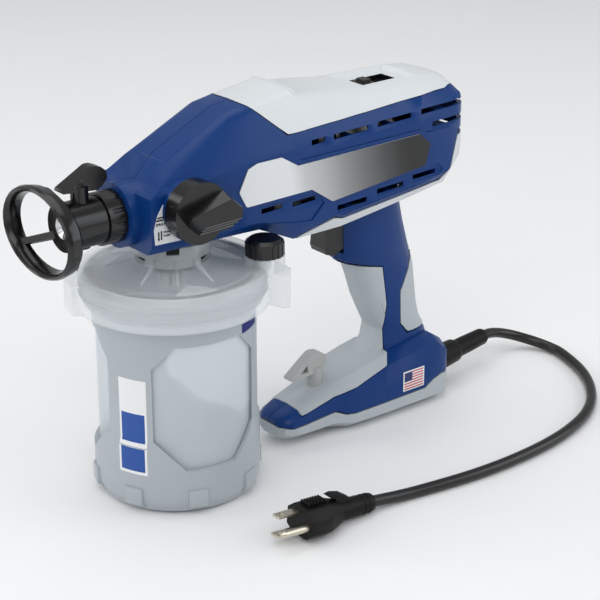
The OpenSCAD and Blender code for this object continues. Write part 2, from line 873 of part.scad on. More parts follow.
module tip_guard() {
    color(black) difference() {
        union() {
            x_rod(-79, nut_x0 - gap, guard_r, nozzle_z);
            x_rod(nut_x0 - gap - 1, collar_x - 6.5, 10 - fit, nozzle_z);
            guard_ring();
            // three arms carry the ring
            for (a = [90, 217, 323]) hull() {
                translate([-76.5, (guard_r - 3) * cos(a), nozzle_z + (guard_r - 3) * sin(a)])
                    rotate([a, 0, 0]) cube([4, 3.4, 4.5], center = true);
                translate([-88.5, (guard_half_w - 3.4) * cos(a), guard_z + (guard_half_h - 3.4) * sin(a)])
                    rotate([a, 0, 0]) cube([4.4, 3, 4], center = true);
            }
        }
        x_rod(-81, -44, 7, nozzle_z);
        translate([tip_x, 0, nozzle_z - 20]) cylinder(h = 40, r = tip_r + fit);
    }
}

module tip_seat() {
    color(steel) difference() {
        x_rod(tip_x + tip_r - 0.2, collar_x - 6.3, 7, nozzle_z);
        x_rod(tip_x, collar_x, 2, nozzle_z);
        translate([tip_x, 0, nozzle_z - 20]) cylinder(h = 40, r = tip_r + fit);
    }
}

// An arrow-shaped tip handle on its round barrel, drawn about the top of the barrel.
// shift moves the handle along X and turn lifts its nose.
module tip_body(barrel, shift, turn) {
    difference() {
        union() {
            translate([0, 0, -barrel]) cylinder(h = barrel + 4, r = tip_r);
            translate([shift, 4, 0]) rotate([90, turn, 0]) linear_extrude(8) polygon([
                [-23, 1.5], [-23.5, -0.2], [-22, -1], [1.7, 0], [4.8, 2.3], [8, 7], [6.8, 11.5], [3, 14],
                [-1.5, 15], [-4.6, 14.6], [-6, 13.8]]);
        }
        translate([shift, 6, 0]) rotate([90, turn, 0]) linear_extrude(12)
            polygon([[-15, 2.5], [-9, 8], [-8.5, 2.5]]);
    }
}

module spray_tip() {
    color(black) difference() {
        translate([tip_x, 0, 211.5]) tip_body(35, 8.6, 8);
        x_rod(tip_x - 10, tip_x + 10, 1.2, nozzle_z);
    }
}

module spare_tip() {
    color("#8f918f") translate([spare_x, 0, 43.3]) tip_body(30, 0, 0);
}

// ---- cup ----

ear_turn = -40;
skirt_r = support_r + skirt_step;
cover_r = support_r + cover_step;
ear_reach = cover_r + ear_len;
lobe_turn = 163;        // the smaller grip lobe on the far side of the cover
lobe_reach = cover_r + ear_len / 2;
valve_rad = cover_r - 5;
valve_r = 4;
valve_z = 156.4;
cover_top = 151;
rim_z = 144.4;
neck_r = 24;

// Azimuth of the first of three bayonet lugs
lug_turn = -64;

module cup_cover() {
    lip = 0.7;
    color(clear) difference() {
        union() {
            rotate_extrude($fn = 96) polygon([
                [cover_r - 2.8, cover_z], [cover_r - lip, cover_z], [cover_r, cover_z + 1],
                [cover_r, cover_z + 5], [cover_r - lip, cover_z + 5.6], [cover_r - lip, cover_z + 7.4],
                [cover_r, cover_z + 8], [cover_r, cover_z + 12], [cover_r - lip, cover_z + 12.6],
                [cover_r - lip, cover_z + 14.4], [cover_r, cover_z + 15], [cover_r, cover_z + 18.5],
                [cover_r - 3, cover_top - 1], [cover_r - 6, cover_top],
                [cover_r - 12.5, cover_top], [cover_r - 16.5, cover_top - 1],
                [neck_r + 3, cover_top + 2.5], [neck_r, cover_top + 4], [neck_r, 168.5],
                [neck_r - 2.2, 168.5], [neck_r - 2.2, cover_top + 3.5], [inlet_r + fit, cover_top + 3.5],
                [inlet_r + fit, cover_top], [neck_r, cover_top], [cover_r - 18.5, cover_top - 3],
                [cover_r - 5.5, cover_top - 3], [cover_r - 2.8, cover_top - 6]]);
            for (e = [[ear_turn, ear_reach, 20, -3.5], [lobe_turn, lobe_reach, 18.5, 1]]) rotate(e[0])
                difference() {
                    hull() {
                        translate([cover_r - 6, -12.5, cover_z + 1])
                            cube([4, 25, cover_top - cover_z - 3]);
                        translate([e[1] - 4, -9, cover_z + e[3]]) cube([4, 18, e[2]]);
                    }
                    translate([0, 0, cover_z - 5]) cylinder(h = 40, r = cover_r - 1.4);
                }
            rotate(ear_turn) translate([valve_rad, 0, cover_top - 3])
                cylinder(h = valve_z - cover_top + 3, r = valve_cap_r + 0.8);
            for (a = [0, 120, 240]) rotate(lug_turn + a) {
                // lug over the inlet's bayonet
                translate([17.5, -5, 160.2]) cube([neck_r - 19, 10, 2.8]);
                // gussets from the neck to the rim
                for (b = [-87, -57, -27]) rotate(b) translate([neck_r - 0.8, 0, 0]) rotate([90, 0, 0])
                    translate([0, 0, -0.8]) linear_extrude(1.6) polygon([[0, cover_top + 2],
                        [0, cover_top + 10], [3, cover_top + 9], [20, cover_top + 0.5],
                        [20, cover_top - 1.5], [14, cover_top - 1.5]]);
            }
        }
        for (a = [0, 120, 240]) rotate(lug_turn + a) {
            translate([neck_r - 4, -6, cover_top + 4.5]) cube([8, 12, 4.5]);
            rotate(60) translate([neck_r - 4, -4, 164]) cube([8, 8, 10]);
        }
        rotate(ear_turn) translate([valve_rad, 0, cover_top - 4]) cylinder(h = 20, r = valve_r + fit);
    }
}

module cover_gasket() {
    color(white) rotate_extrude() translate([flange_end - 5, rim_z + 2.4]) square([5, 1.2]);
}

liner_r = support_r - support_wall - gap;
flange_end = support_r + 3;     // outer radius of the liner's flange and its gasket

module cup_liner() {
    color(clear) rotate_extrude() polygon([
        [0, 3], [liner_r - 6, 3], [liner_r - 2, 5], [liner_r, 9], [liner_r, rim_z], [flange_end, rim_z],
        [flange_end, rim_z + 2.2], [liner_r - liner_wall, rim_z + 2.2], [liner_r - liner_wall, 9.5],
        [liner_r - 2.5, 5.8], [liner_r - 6.3, 3 + liner_wall], [0, 3 + liner_wall]]);
}

module cup_support() {
    color(grey) difference() {
        rotate_extrude() polygon([
            [0, 0], [skirt_r - 8.5, 0], [skirt_r - 5.5, 1.5],
            [skirt_r - 2.5, 4.5], [skirt_r - 0.7, 8.5], [skirt_r, 13], [skirt_r, 46],
            [support_r, 49], [support_r, 124], [cover_r - 5.5, 130],
            [cover_r - 5.5, 133], [cover_r - 3.3, 134.5], [cover_r - 5.5, 136], [cover_r - 5.5, 138.5],
            [cover_r - 3.3, 140], [cover_r - 5.5, 141.5], [cover_r - 5.5, rim_z],
            [support_r - support_wall, rim_z], [support_r - support_wall, 2.4], [0, 2.4]]);
        for (a = [-100, 20, 140]) rotate(a + 90) window_cut();
    }
    color(grey) for (a = [0 : 45 : 315]) rotate(a + 23.5) intersection() {
        translate([skirt_r - 3, -6.5, 4.5]) cube([4, 13, 13.5]);
        rotate_extrude() polygon([[skirt_r - 4, 0], [skirt_r - 1.6, 4.5], [skirt_r + 0.1, 8.5],
            [skirt_r + 0.7, 13], [skirt_r + 0.7, 20], [skirt_r - 4, 20]]);
    }
}

// One of the support's three large windows, with slanting corners
module window_cut() {
    rotate([90, 0, 0]) linear_extrude(80) polygon([[-34.5, 51], [-17, 31], [17, 31], [34.5, 51], [34.5, 100],
        [22, 115], [-22, 115], [-34.5, 100]]);
}

module valve_stem() {
    color(white) rotate(ear_turn) translate([valve_rad, 0, 0]) {
        translate([0, 0, cover_top - 2.8]) cylinder(h = valve_z - cover_top + 7, r = valve_r);
    }
}

module valve_cap() {
    color(black) rotate(ear_turn) translate([valve_rad, 0, valve_z + gap]) difference() {
        union() {
            cylinder(h = 9, r = valve_cap_r);
            translate([0, 0, 9]) cylinder(h = 1.8, r1 = valve_cap_r, r2 = valve_cap_r - 2.5);
            for (a = [0 : 20 : 340]) rotate(a) translate([valve_cap_r - 0.4, -0.8, 0]) cube([0.8, 1.6, 8.4]);
        }
        translate([0, 0, -1]) cylinder(h = 5.1, r = valve_r + fit);
    }
}

// ---- mains lead ----

module at_relief() {
    translate([relief_x, 0, relief_z]) rotate([0, 0, relief_turn]) rotate([0, 90, 0]) children();
}

module strain_relief() {
    color(black) {
        at_relief() rotate_extrude() polygon([
            [0, 1.6], [9.3, 1.6], [9.3, 4], [8.6, 24], [7.8, 25.5], [6.8, 26], [6.6, 40],
            [6.2, 58], [5.6, 60], [0, 60]]);
        x_rod(relief_x - 8, relief_x + 3, 6.9, relief_z);
    }
}

// Route of the lead from its strain relief to the plug, along the ground
cord_points = [[284.3, 9.4, 19.2], [294, 11.2, 18.2], [304.5, 12.5, 15.2], [314.8, 10.7, 11.6],
    [323.8, 5.5, 8.2], [330.5, -2.5, 5.6], [334, -12.3, 4.2], [334.3, -22, 3.8], [331.6, -32, 3.8],
    [327.5, -43, 3.8], [321.5, -57, 3.8], [313, -71, 3.8], [302, -84.5, 3.8], [288.5, -97, 3.8],
    [272, -107.5, 3.8], [254, -115, 3.8], [234, -120.5, 3.8], [212, -124.2, 3.8], [189, -126, 3.8],
    [166, -126, 3.8], [143, -124, 3.8], [121, -121, 3.8], [101, -117.8, 3.9], [88, -116, 4.6],
    [77, -114.7, 5.6], [67.2, -113.7, 6.7]];

function unit(v) = v / norm(v);
function cord_dir(i) = i == 0 ? [cos(relief_turn), sin(relief_turn), 0]
    : i == len(cord_points) - 1 ? unit(cord_points[i] - cord_points[i - 1])
    : unit(cord_points[i + 1] - cord_points[i - 1]);

module cord() {
    sides = 10;
    rings = [for (i = [0 : len(cord_points) - 1])
        let (d = cord_dir(i), s = unit(cross(d, [0, 0, 1])), u = cross(s, d))
        [for (j = [0 : sides - 1]) let (t = j * 360 / sides)
            cord_points[i] + cord_r * (cos(t) * s + sin(t) * u)]];
    color(black) sweep(rings);
}

// ---- plug, drawn along +X from the centre of its face ----

plug_at = [10.5, -112.2, 11.6];

module at_plug() {
    translate(plug_at) rotate([0, 0, -1.5]) rotate([0, 5, 0]) children();
}

module plug_body() {
    color(black) at_plug() difference() {
        union() {
            hull() {
                rotate([90, 0, 90]) linear_extrude(16)
                    polygon([[12, 6], [6, 10.6], [-8, 10.6], [-14, 5], [-14, -4], [-8, -9], [6, -9],
                        [12, -5]]);
                translate([26, 0, 0]) rotate([0, 90, 0]) cylinder(h = 3, r = 8.2, $fn = 32);
            }
            translate([26, 0, 0]) rotate([0, 90, 0]) rotate_extrude() polygon([
                [0, 0], [8.2, 0], [8.2, 3.5], [6.9, 4.5], [6.7, 20], [6.1, 20.5], [6.1, 22], [6.6, 22.5],
                [6.6, 24], [6, 24.5], [6, 26], [6.5, 26.5], [6.5, 28], [5.8, 30.8], [0, 30.8]]);
            // hook that keeps the lead of an extension
            rotate([90, 0, 0]) translate([0, 0, -3]) linear_extrude(6) polygon([
                [38, 6], [38, 8.5], [31, 12.5], [24, 14], [20, 13.2], [22, 11.8], [26, 10.5], [27, 6]]);
        }
        for (s = [-6.35, 6.35]) translate([-1, -0.5, s - 0.8]) cube([8, 7, 1.6]);
    }
}

module plug_blades() {
    color("#b8ab8c") at_plug() for (s = [-6.35, 6.35]) difference() {
        translate([-16.5, -0.4, s - 0.76]) cube([23, 6.3, 1.52]);
        translate([-12, 2.75, s - 2]) cylinder(h = 4, r = 1.6, $fn = 24);
        translate([-17, -1.4, s - 2]) rotate([0, 0, 40]) cube([2, 2.2, 4]);
    }
}

module ground_pin() {
    color("#b8ab8c") at_plug() translate([0, -9.2, 0]) {
        translate([-18.6, 0, 0]) rotate([0, 90, 0]) cylinder(h = 18.6, r = 2.39);
        translate([-18.6, 0, 0]) rotate([0, -90, 0]) cylinder(h = 2, r1 = 2.39, r2 = 1.2);
    }
}

housing_left();
housing_right();
top_cover();
underside_trim();
front_grip();
rear_grip();
base_bumper();
label_panel();
selector_plate();
housing_screws();
motor_stator();
armature();
cooling_fan();
brush_holders();
front_bearing();
rear_bearing();
motor_pinion();
drive_gear();
cam_shaft();
gear_bearing();
gear_bracket();
piston();
piston_spring();
pump_block();
inlet_fitting();
inlet_filter();
outlet_fitting();
prime_stem();
prime_knob();
trigger();
trigger_switch();
speed_slider();
speed_control();
retaining_nut();
tip_guard();
tip_seat();
spray_tip();
spare_tip();
cup_cover();
cover_gasket();
cup_liner();
cup_support();
valve_cap();
valve_stem();
strain_relief();
cord();
plug_body();
plug_blades();
ground_pin();
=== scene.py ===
"""Finish for a handheld airless paint sprayer: shells, cup, nozzle group, lead and stage.

The packed frame gives every piece its place. This script gives the pieces their eased edges,
materials and small fittings, and sets the camera and lights.
"""

import json
import math

import bmesh
import bpy
from bpy.props import FloatProperty, FloatVectorProperty, PointerProperty
from mathutils import Matrix, Vector
from mathutils.bvhtree import BVHTree

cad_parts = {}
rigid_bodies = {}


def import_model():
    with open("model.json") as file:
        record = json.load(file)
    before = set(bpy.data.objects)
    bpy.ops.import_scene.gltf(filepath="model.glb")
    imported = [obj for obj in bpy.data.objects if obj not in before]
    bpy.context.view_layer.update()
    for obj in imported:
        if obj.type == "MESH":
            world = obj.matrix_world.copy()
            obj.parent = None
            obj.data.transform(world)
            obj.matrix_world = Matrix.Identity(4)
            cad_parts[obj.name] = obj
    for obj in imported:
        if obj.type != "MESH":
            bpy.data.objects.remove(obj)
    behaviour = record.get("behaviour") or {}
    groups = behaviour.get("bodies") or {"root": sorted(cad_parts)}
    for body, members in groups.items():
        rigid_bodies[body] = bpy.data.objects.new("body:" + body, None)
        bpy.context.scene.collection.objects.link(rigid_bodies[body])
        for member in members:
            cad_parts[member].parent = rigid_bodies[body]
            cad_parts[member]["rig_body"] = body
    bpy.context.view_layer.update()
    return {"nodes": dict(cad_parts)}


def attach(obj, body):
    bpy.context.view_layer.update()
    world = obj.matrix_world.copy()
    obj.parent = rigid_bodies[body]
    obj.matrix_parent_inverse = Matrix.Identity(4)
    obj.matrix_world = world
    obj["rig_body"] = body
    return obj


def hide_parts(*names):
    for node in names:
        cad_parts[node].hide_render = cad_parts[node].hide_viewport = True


bl_info = {
    "name": "Paint sprayer finish",
    "version": (1, 0, 0),
    "blender": (4, 5, 0),
    "location": "3D View > Sidebar > Sprayer",
    "description": "Shells, cup, nozzle, lead and stage of a handheld airless paint sprayer",
    "category": "Object",
}

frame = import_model()
NODES = frame["nodes"]
MM = 0.001


# ---------------------------------------------------------------- settings


def colour(label, description, default):
    """A colour property with a plain label."""
    return FloatVectorProperty(
        name=label, description=description, subtype="COLOR", size=3, min=0, max=1, default=default
    )


def length(label, description, default, low=0.0, high=1.0):
    """A length property in metres."""
    return FloatProperty(
        name=label, description=description, unit="LENGTH", default=default, min=low, max=high
    )


def amount(label, description, default, low=0.0):
    """A plain number, whose description names its unit."""
    return FloatProperty(name=label, description=description, default=default, min=low)


class ShellSettings(bpy.types.PropertyGroup):
    """Moulded housing and soft grips."""

    blue: colour("Blue", "Colour of the housing halves", (0.0025, 0.036, 0.172))
    white: colour("White", "Colour of the top cover and trim", (0.66, 0.69, 0.71))
    grip: colour("Grip", "Colour of the soft grips", (0.44, 0.48, 0.51))
    half_edge: length("Half edge", "Radius of the eased edges of the housing halves", 0.0004, 0, 0.002)
    cover_edge: length("Cover edge", "Radius of the eased edges of the cover and trim", 0.0005, 0, 0.002)
    grip_edge: length("Grip edge", "Radius of the eased edges of the soft grips", 0.0005, 0, 0.002)


class PanelSettings(bpy.types.PropertyGroup):
    """Bare panels and stickers."""

    light: colour("Light end", "Light end of the side panel", (0.72, 0.74, 0.76))
    dark: colour("Dark end", "Dark end of the side panel", (0.005, 0.0055, 0.006))
    fade_start: length("Fade start", "Where the side panel starts to darken", 0.066, 0, 0.3)
    fade_end: length("Fade end", "Where the side panel is darkest", 0.166, 0, 0.3)
    blue: colour("Sticker blue", "Blue of the plain stickers", (0.008, 0.07, 0.33))


class NozzleSettings(bpy.types.PropertyGroup):
    """Guard, tip, nut, knob and trigger."""

    black: colour("Black", "Colour of the black mouldings", (0.0045, 0.0045, 0.0048))
    edge: length("Edge", "Radius of the eased edges", 0.0004, 0, 0.002)


class CupSettings(bpy.types.PropertyGroup):
    """Cup support, liner, cover and cap."""

    cover: colour("Cover", "Tint of the frosted cover", (0.83, 0.87, 0.9))
    liner: colour("Liner", "Tint of the liner", (0.8, 0.87, 0.92))
    support: colour("Support", "Colour of the cup support", (0.4, 0.44, 0.475))
    support_edge: length("Support edge", "Radius of the eased edges of the support", 0.0008, 0, 0.002)
    cap_edge: length("Cap edge", "Radius of the eased edges of the vent cap", 0.0005, 0, 0.002)


class LeadSettings(bpy.types.PropertyGroup):
    """Mains lead and plug."""

    diameter: length("Diameter", "Diameter of the lead", 0.0075, 0.004, 0.012)
    black: colour("Black", "Colour of the lead and plug", (0.005, 0.005, 0.0052))


class StageSettings(bpy.types.PropertyGroup):
    """Camera, floor and light."""

    focal: amount("Focal length", "Camera lens in millimetres", 109.944, 20)
    key: amount("Key light", "Power of the key light in watts", 11.0)
    fill: amount("Fill light", "Power of the fill light in watts", 14.0)


# ---------------------------------------------------------------- node helpers


def tree_of(name):
    """A new material with an empty tree, and a way to add and join nodes."""
    material = bpy.data.materials.new(name)
    material.use_nodes = True
    tree = material.node_tree
    tree.nodes.clear()

    def add(kind, inputs=(), **settings):
        node = tree.nodes.new(kind)
        for key, value in settings.items():
            setattr(node, key, value)
        for key, value in dict(inputs).items():
            if isinstance(value, bpy.types.NodeSocket):
                tree.links.new(value, node.inputs[key])
            else:
                node.inputs[key].default_value = value
        return node

    return material, add


def rgba(value):
    """A colour with full alpha."""
    return (*tuple(value)[:3], 1.0)


def mixed(add, a, b, factor):
    """Colour socket between a and b."""
    node = add("ShaderNodeMix", {0: factor}, data_type="RGBA")
    tree = node.id_data
    for slot, value in ((6, a), (7, b)):
        if isinstance(value, bpy.types.NodeSocket):
            tree.links.new(value, node.inputs[slot])
        else:
            node.inputs[slot].default_value = rgba(value)
    return node.outputs[2]


def placed(add):
    """Vector socket of the place on the object."""
    return add("ShaderNodeTexCoord").outputs["Object"]


def split(add, vector):
    """The X, Y and Z sockets of a vector socket."""
    return tuple(add("ShaderNodeSeparateXYZ", {"Vector": vector}).outputs)


def calculated(add, operation, *values):
    """Value socket of a Math node."""
    return add("ShaderNodeMath", dict(enumerate(values)), operation=operation).outputs["Value"]


def between(add, value, low, high):
    """Value socket that is 1 where a value lies between two limits."""
    above = calculated(add, "GREATER_THAN", value, low)
    return calculated(add, "MULTIPLY", above, calculated(add, "LESS_THAN", value, high))


def ranged(add, value, low, high, start=0.0, end=1.0):
    """Value socket that runs from low to high while a value runs from start to end."""
    limits = {"From Min": start, "From Max": end, "To Min": low, "To Max": high}
    return add("ShaderNodeMapRange", {"Value": value, **limits}).outputs["Result"]


def noise(add, place, scale, detail=2.0, **sockets):
    """Value socket of a noise texture."""
    sockets |= {"Vector": place, "Scale": scale, "Detail": detail}
    return add("ShaderNodeTexNoise", sockets).outputs["Fac"]


def relief(add, height, strength, depth):
    """Normal socket of a fine relief in the surface."""
    sockets = {"Height": height, "Strength": strength, "Distance": depth}
    return add("ShaderNodeBump", sockets).outputs["Normal"]


def surface(add, sockets):
    """Joins a Principled shader with these sockets to the material's output."""
    shader = add("ShaderNodeBsdfPrincipled", sockets)
    add("ShaderNodeOutputMaterial", {"Surface": shader.outputs["BSDF"]})


def moulded(name, base, rough=0.34, drift=0.07, grain=0.00003, grain_size=0.0009, mottle=0.05, **sockets):
    """Moulded plastic: mottled colour, tooled grain, and roughness that drifts where it is handled."""
    material, add = tree_of(name)
    place = placed(add)
    deep = tuple(max(0.0, c * (1 - mottle)) for c in tuple(base)[:3])
    pale = tuple(min(1.0, c * (1 + mottle) + 0.0015 * mottle) for c in tuple(base)[:3])
    wear = noise(add, place, scale=70.0, detail=4.0, Roughness=0.6)
    cloud = noise(add, place, scale=22.0, detail=3.0)
    if grain:
        fine = noise(add, place, scale=1.0 / grain_size)
        sockets["Normal"] = relief(add, fine, strength=0.35, depth=grain)
    surface(add, {
        "Base Color": mixed(add, deep, pale, cloud),
        "Roughness": ranged(add, wear, rough - drift, rough + drift, start=0.3, end=0.7),
        "IOR": 1.5,
        **sockets,
    })
    return material


def metal(name, base, rough=0.3, brush=(0, 0, 1), turned=0.00001):
    """Machined metal: tool lines across an axis, and a faint tarnish."""
    material, add = tree_of(name)
    place = placed(add)
    fine = tuple(2200.0 if part else 60.0 for part in brush)
    drawn = add("ShaderNodeMapping", {"Vector": place, "Scale": fine}).outputs["Vector"]
    lines = noise(add, drawn, scale=1.0)
    stain = noise(add, place, scale=90.0, detail=4.0)
    surface(add, {
        "Base Color": mixed(add, tuple(c * 0.82 for c in base), base, stain),
        "Metallic": 1.0,
        "Roughness": ranged(add, stain, rough - 0.08, rough + 0.1),
        "Normal": relief(add, lines, strength=0.3, depth=turned),
    })
    return material


def printed(material, add, shown, fine, rough):
    """Finishes a sticker's material: its print, and a gloss that runs between two roughnesses."""
    gloss = ranged(add, noise(add, placed(add), scale=fine), *rough)
    surface(add, {"Base Color": shown, "Roughness": gloss})
    return material


# ---------------------------------------------------------------- mesh helpers


# Shells that meet each other in joints
SHELLS = (
    "housing_left", "housing_right", "top_cover", "underside_trim", "front_grip", "rear_grip", "base_bumper",
)
MEET_START = 0.0003  # how far behind a face the search for a neighbour starts
MEET_REACH = 0.001  # how far it looks
FACE_TO_FACE = -0.9  # dot product of two normals, below which their faces look at each other
SAME_WAY = 0.8  # and from which they look the same way


def piece(name, mesh, body, material, smooth_under=32.0):
    """A finished piece that rides on a body, with sharp edges kept above an angle."""
    thing = bpy.data.objects.new(name, mesh)
    bpy.context.scene.collection.objects.link(thing)
    mesh.materials.clear()
    mesh.materials.append(material)
    crease(mesh, smooth_under)
    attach(thing, body)
    return thing


def crease(mesh, smooth_under):
    """Smooth faces that break at edges sharper than the angle in degrees."""
    bm = bmesh.new()
    bm.from_mesh(mesh)
    limit = math.radians(smooth_under)
    for face in bm.faces:
        face.smooth = True
    for edge in bm.edges:
        edge.smooth = len(edge.link_faces) == 2 and edge.calc_face_angle(0) < limit
    bm.to_mesh(mesh)
    bm.free()


def solid(name, bm, body, material):
    """Closes a bmesh into a piece."""
    bmesh.ops.remove_doubles(bm, verts=bm.verts, dist=1e-7)
    bmesh.ops.recalc_face_normals(bm, faces=bm.faces)
    mesh = bpy.data.meshes.new(name)
    bm.to_mesh(mesh)
    bm.free()
    return piece(name, mesh, body, material)


def open_joints(bm, node, joint):
    """Draws the faces that meet another shell back by the width of half a joint line."""
    verts, faces = [], []
    for other in SHELLS:
        if other != node:
            mesh = NODES[other].data
            faces += [[i + len(verts) for i in polygon.vertices] for polygon in mesh.polygons]
            verts += [v.co.copy() for v in mesh.vertices]
    near = BVHTree.FromPolygons(verts, faces)
    back = {}
    bm.normal_update()
    for face in bm.faces:
        out = face.normal
        _, hit, _, _ = near.ray_cast(face.calc_center_median() - MEET_START * out, out, MEET_REACH)
        if hit is not None and hit.dot(out) < FACE_TO_FACE:
            face.material_index = 1
            for vert in face.verts:
                known = back.setdefault(vert, [])
                if all(out.dot(one) < SAME_WAY for one in known):
                    known.append(out.copy())
    for vert, normals in back.items():
        vert.co -= sum(normals, Vector()) * joint


def stand_out(bm, proud):
    """Moves the outer faces out sideways, so that a piece stands a little over its neighbours."""
    bm.normal_update()
    lowest = min(v.co.z for v in bm.verts)
    for vert, out in [(v, v.normal.copy()) for v in bm.verts]:
        if out.y * vert.co.y > 0:
            vert.co += Vector((out.x, out.y, min(0.0, out.z))) * proud
            vert.co.z = max(vert.co.z, lowest)


def joint_shadow():
    """The dark of a joint line, made once."""
    known = bpy.data.materials.get("joint shadow")
    return known or moulded("joint shadow", (0.004, 0.005, 0.009), rough=0.8)


def dressed(node, material, edge, segments=2, smooth_under=28.0, bevel_over=38.0, proud=0.0, joint=0.0):
    """A merged copy of a frame piece with eased edges, which stands for it.

    proud is how far its outer faces stand over its neighbours, and joint is how far it draws back
    from them. Edges sharper than bevel_over, in degrees, are eased.
    """
    source = NODES[node]
    mesh = source.data.copy()
    bm = bmesh.new()
    bm.from_mesh(mesh)
    bmesh.ops.remove_doubles(bm, verts=bm.verts, dist=2e-6)
    if joint:
        open_joints(bm, node, joint)
    bmesh.ops.dissolve_limit(
        bm, angle_limit=math.radians(0.6), use_dissolve_boundaries=False, verts=bm.verts, edges=bm.edges
    )
    if proud:
        stand_out(bm, proud)
    bm.to_mesh(mesh)
    bm.free()
    copy = piece(node + "_skin", mesh, source["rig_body"], material, smooth_under)
    if joint:
        mesh.materials.append(joint_shadow())
    if edge:
        ease = copy.modifiers.new("eased edges", "BEVEL")
        ease.width = edge
        ease.segments = segments
        ease.limit_method = "ANGLE"
        ease.angle_limit = math.radians(bevel_over)
        ease.use_clamp_overlap = True
        ease.harden_normals = True
    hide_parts(node)
    return copy


def finish_node(node, material):
    """Gives a frame piece that keeps its own mesh its material."""
    data = NODES[node].data
    data.materials.clear()
    data.materials.append(material)


def block(bm, low, high, edge=0.0, turn=None):
    """An eased block between two corners, turned by a matrix if one is given."""
    low, high = Vector(low), Vector(high)
    made = bmesh.ops.create_cube(bm, size=1.0)["verts"]
    bmesh.ops.scale(bm, vec=high - low, verts=made)
    bmesh.ops.translate(bm, vec=(low + high) / 2, verts=made)
    if edge:
        edges = {e for v in made for e in v.link_edges}
        made = bmesh.ops.bevel(
            bm, geom=list(edges), offset=edge, segments=2, profile=0.5, affect="EDGES", material=-1
        )["verts"] + [v for v in made if v.is_valid]
    if turn is not None:
        bmesh.ops.transform(bm, matrix=turn, verts=[v for v in set(made) if v.is_valid])


def rod(bm, start, end, radius):
    """A thin round rod between two points."""
    along = end - start
    made = bmesh.ops.create_cone(
        bm, cap_ends=True, segments=8, radius1=radius, radius2=radius, depth=along.length
    )["verts"]
    place = Matrix.Translation((start + end) / 2) @ along.to_track_quat("Z", "Y").to_matrix().to_4x4()
    bmesh.ops.transform(bm, matrix=place, verts=made)


def lathe(bm, profile):
    """A solid turned about Z from an outline of (radius, height) in millimetres."""
    verts = [bm.verts.new((r * MM, 0, h * MM)) for r, h in profile]
    edges = [bm.edges.new(pair) for pair in zip(verts, verts[1:])]
    bmesh.ops.spin(
        bm, geom=verts + edges, axis=(0, 0, 1), cent=(0, 0, 0), angle=math.tau, steps=48, use_merge=True
    )
    bmesh.ops.remove_doubles(bm, verts=bm.verts, dist=1e-7)


# ---------------------------------------------------------------- films on the cup support


SUPPORT_RADIUS = 0.052
SKIRT_STEP = 0.0015  # how far the skirt at the support's foot stands out
SKIRT_TOP = 0.0495  # the height below which a film bends out over it
SKIRT_RUN = 0.003  # and how far down it has done so
FILM_LIFT = 0.00015  # how far a film's outer face stands off the support


def wrapped(bm, turns, heights, columns, rows):
    """A sheet round the cup support, between two turns in degrees and two heights."""
    bmesh.ops.create_grid(bm, x_segments=columns, y_segments=rows, size=0.5)
    for vert in bm.verts:
        turn = math.radians(turns[0] + (turns[1] - turns[0]) * (vert.co.x + 0.5))
        height = heights[0] + (heights[1] - heights[0]) * (vert.co.y + 0.5)
        skirt = SKIRT_STEP * min(1.0, max(0.0, (SKIRT_TOP - height) / SKIRT_RUN))
        radius = SUPPORT_RADIUS + FILM_LIFT + skirt
        vert.co = (radius * math.cos(turn), radius * math.sin(turn), height)


# ---------------------------------------------------------------- stage


CAMERA_AT = (-0.608, -0.877, 0.566)
CAMERA_TURN = math.radians(-39.0)
CAMERA_TILT = math.radians(22.5)
FLOOR_HALF = 4.0
FLOOR_DROP = 0.0004  # keeps the floor clear of what stands on it
LIGHTS_AIM = Vector((0.08, 0, 0.12))
SKY = (0.96, 0.98, 1.0, 1.0)
SKY_STRENGTH = 0.46


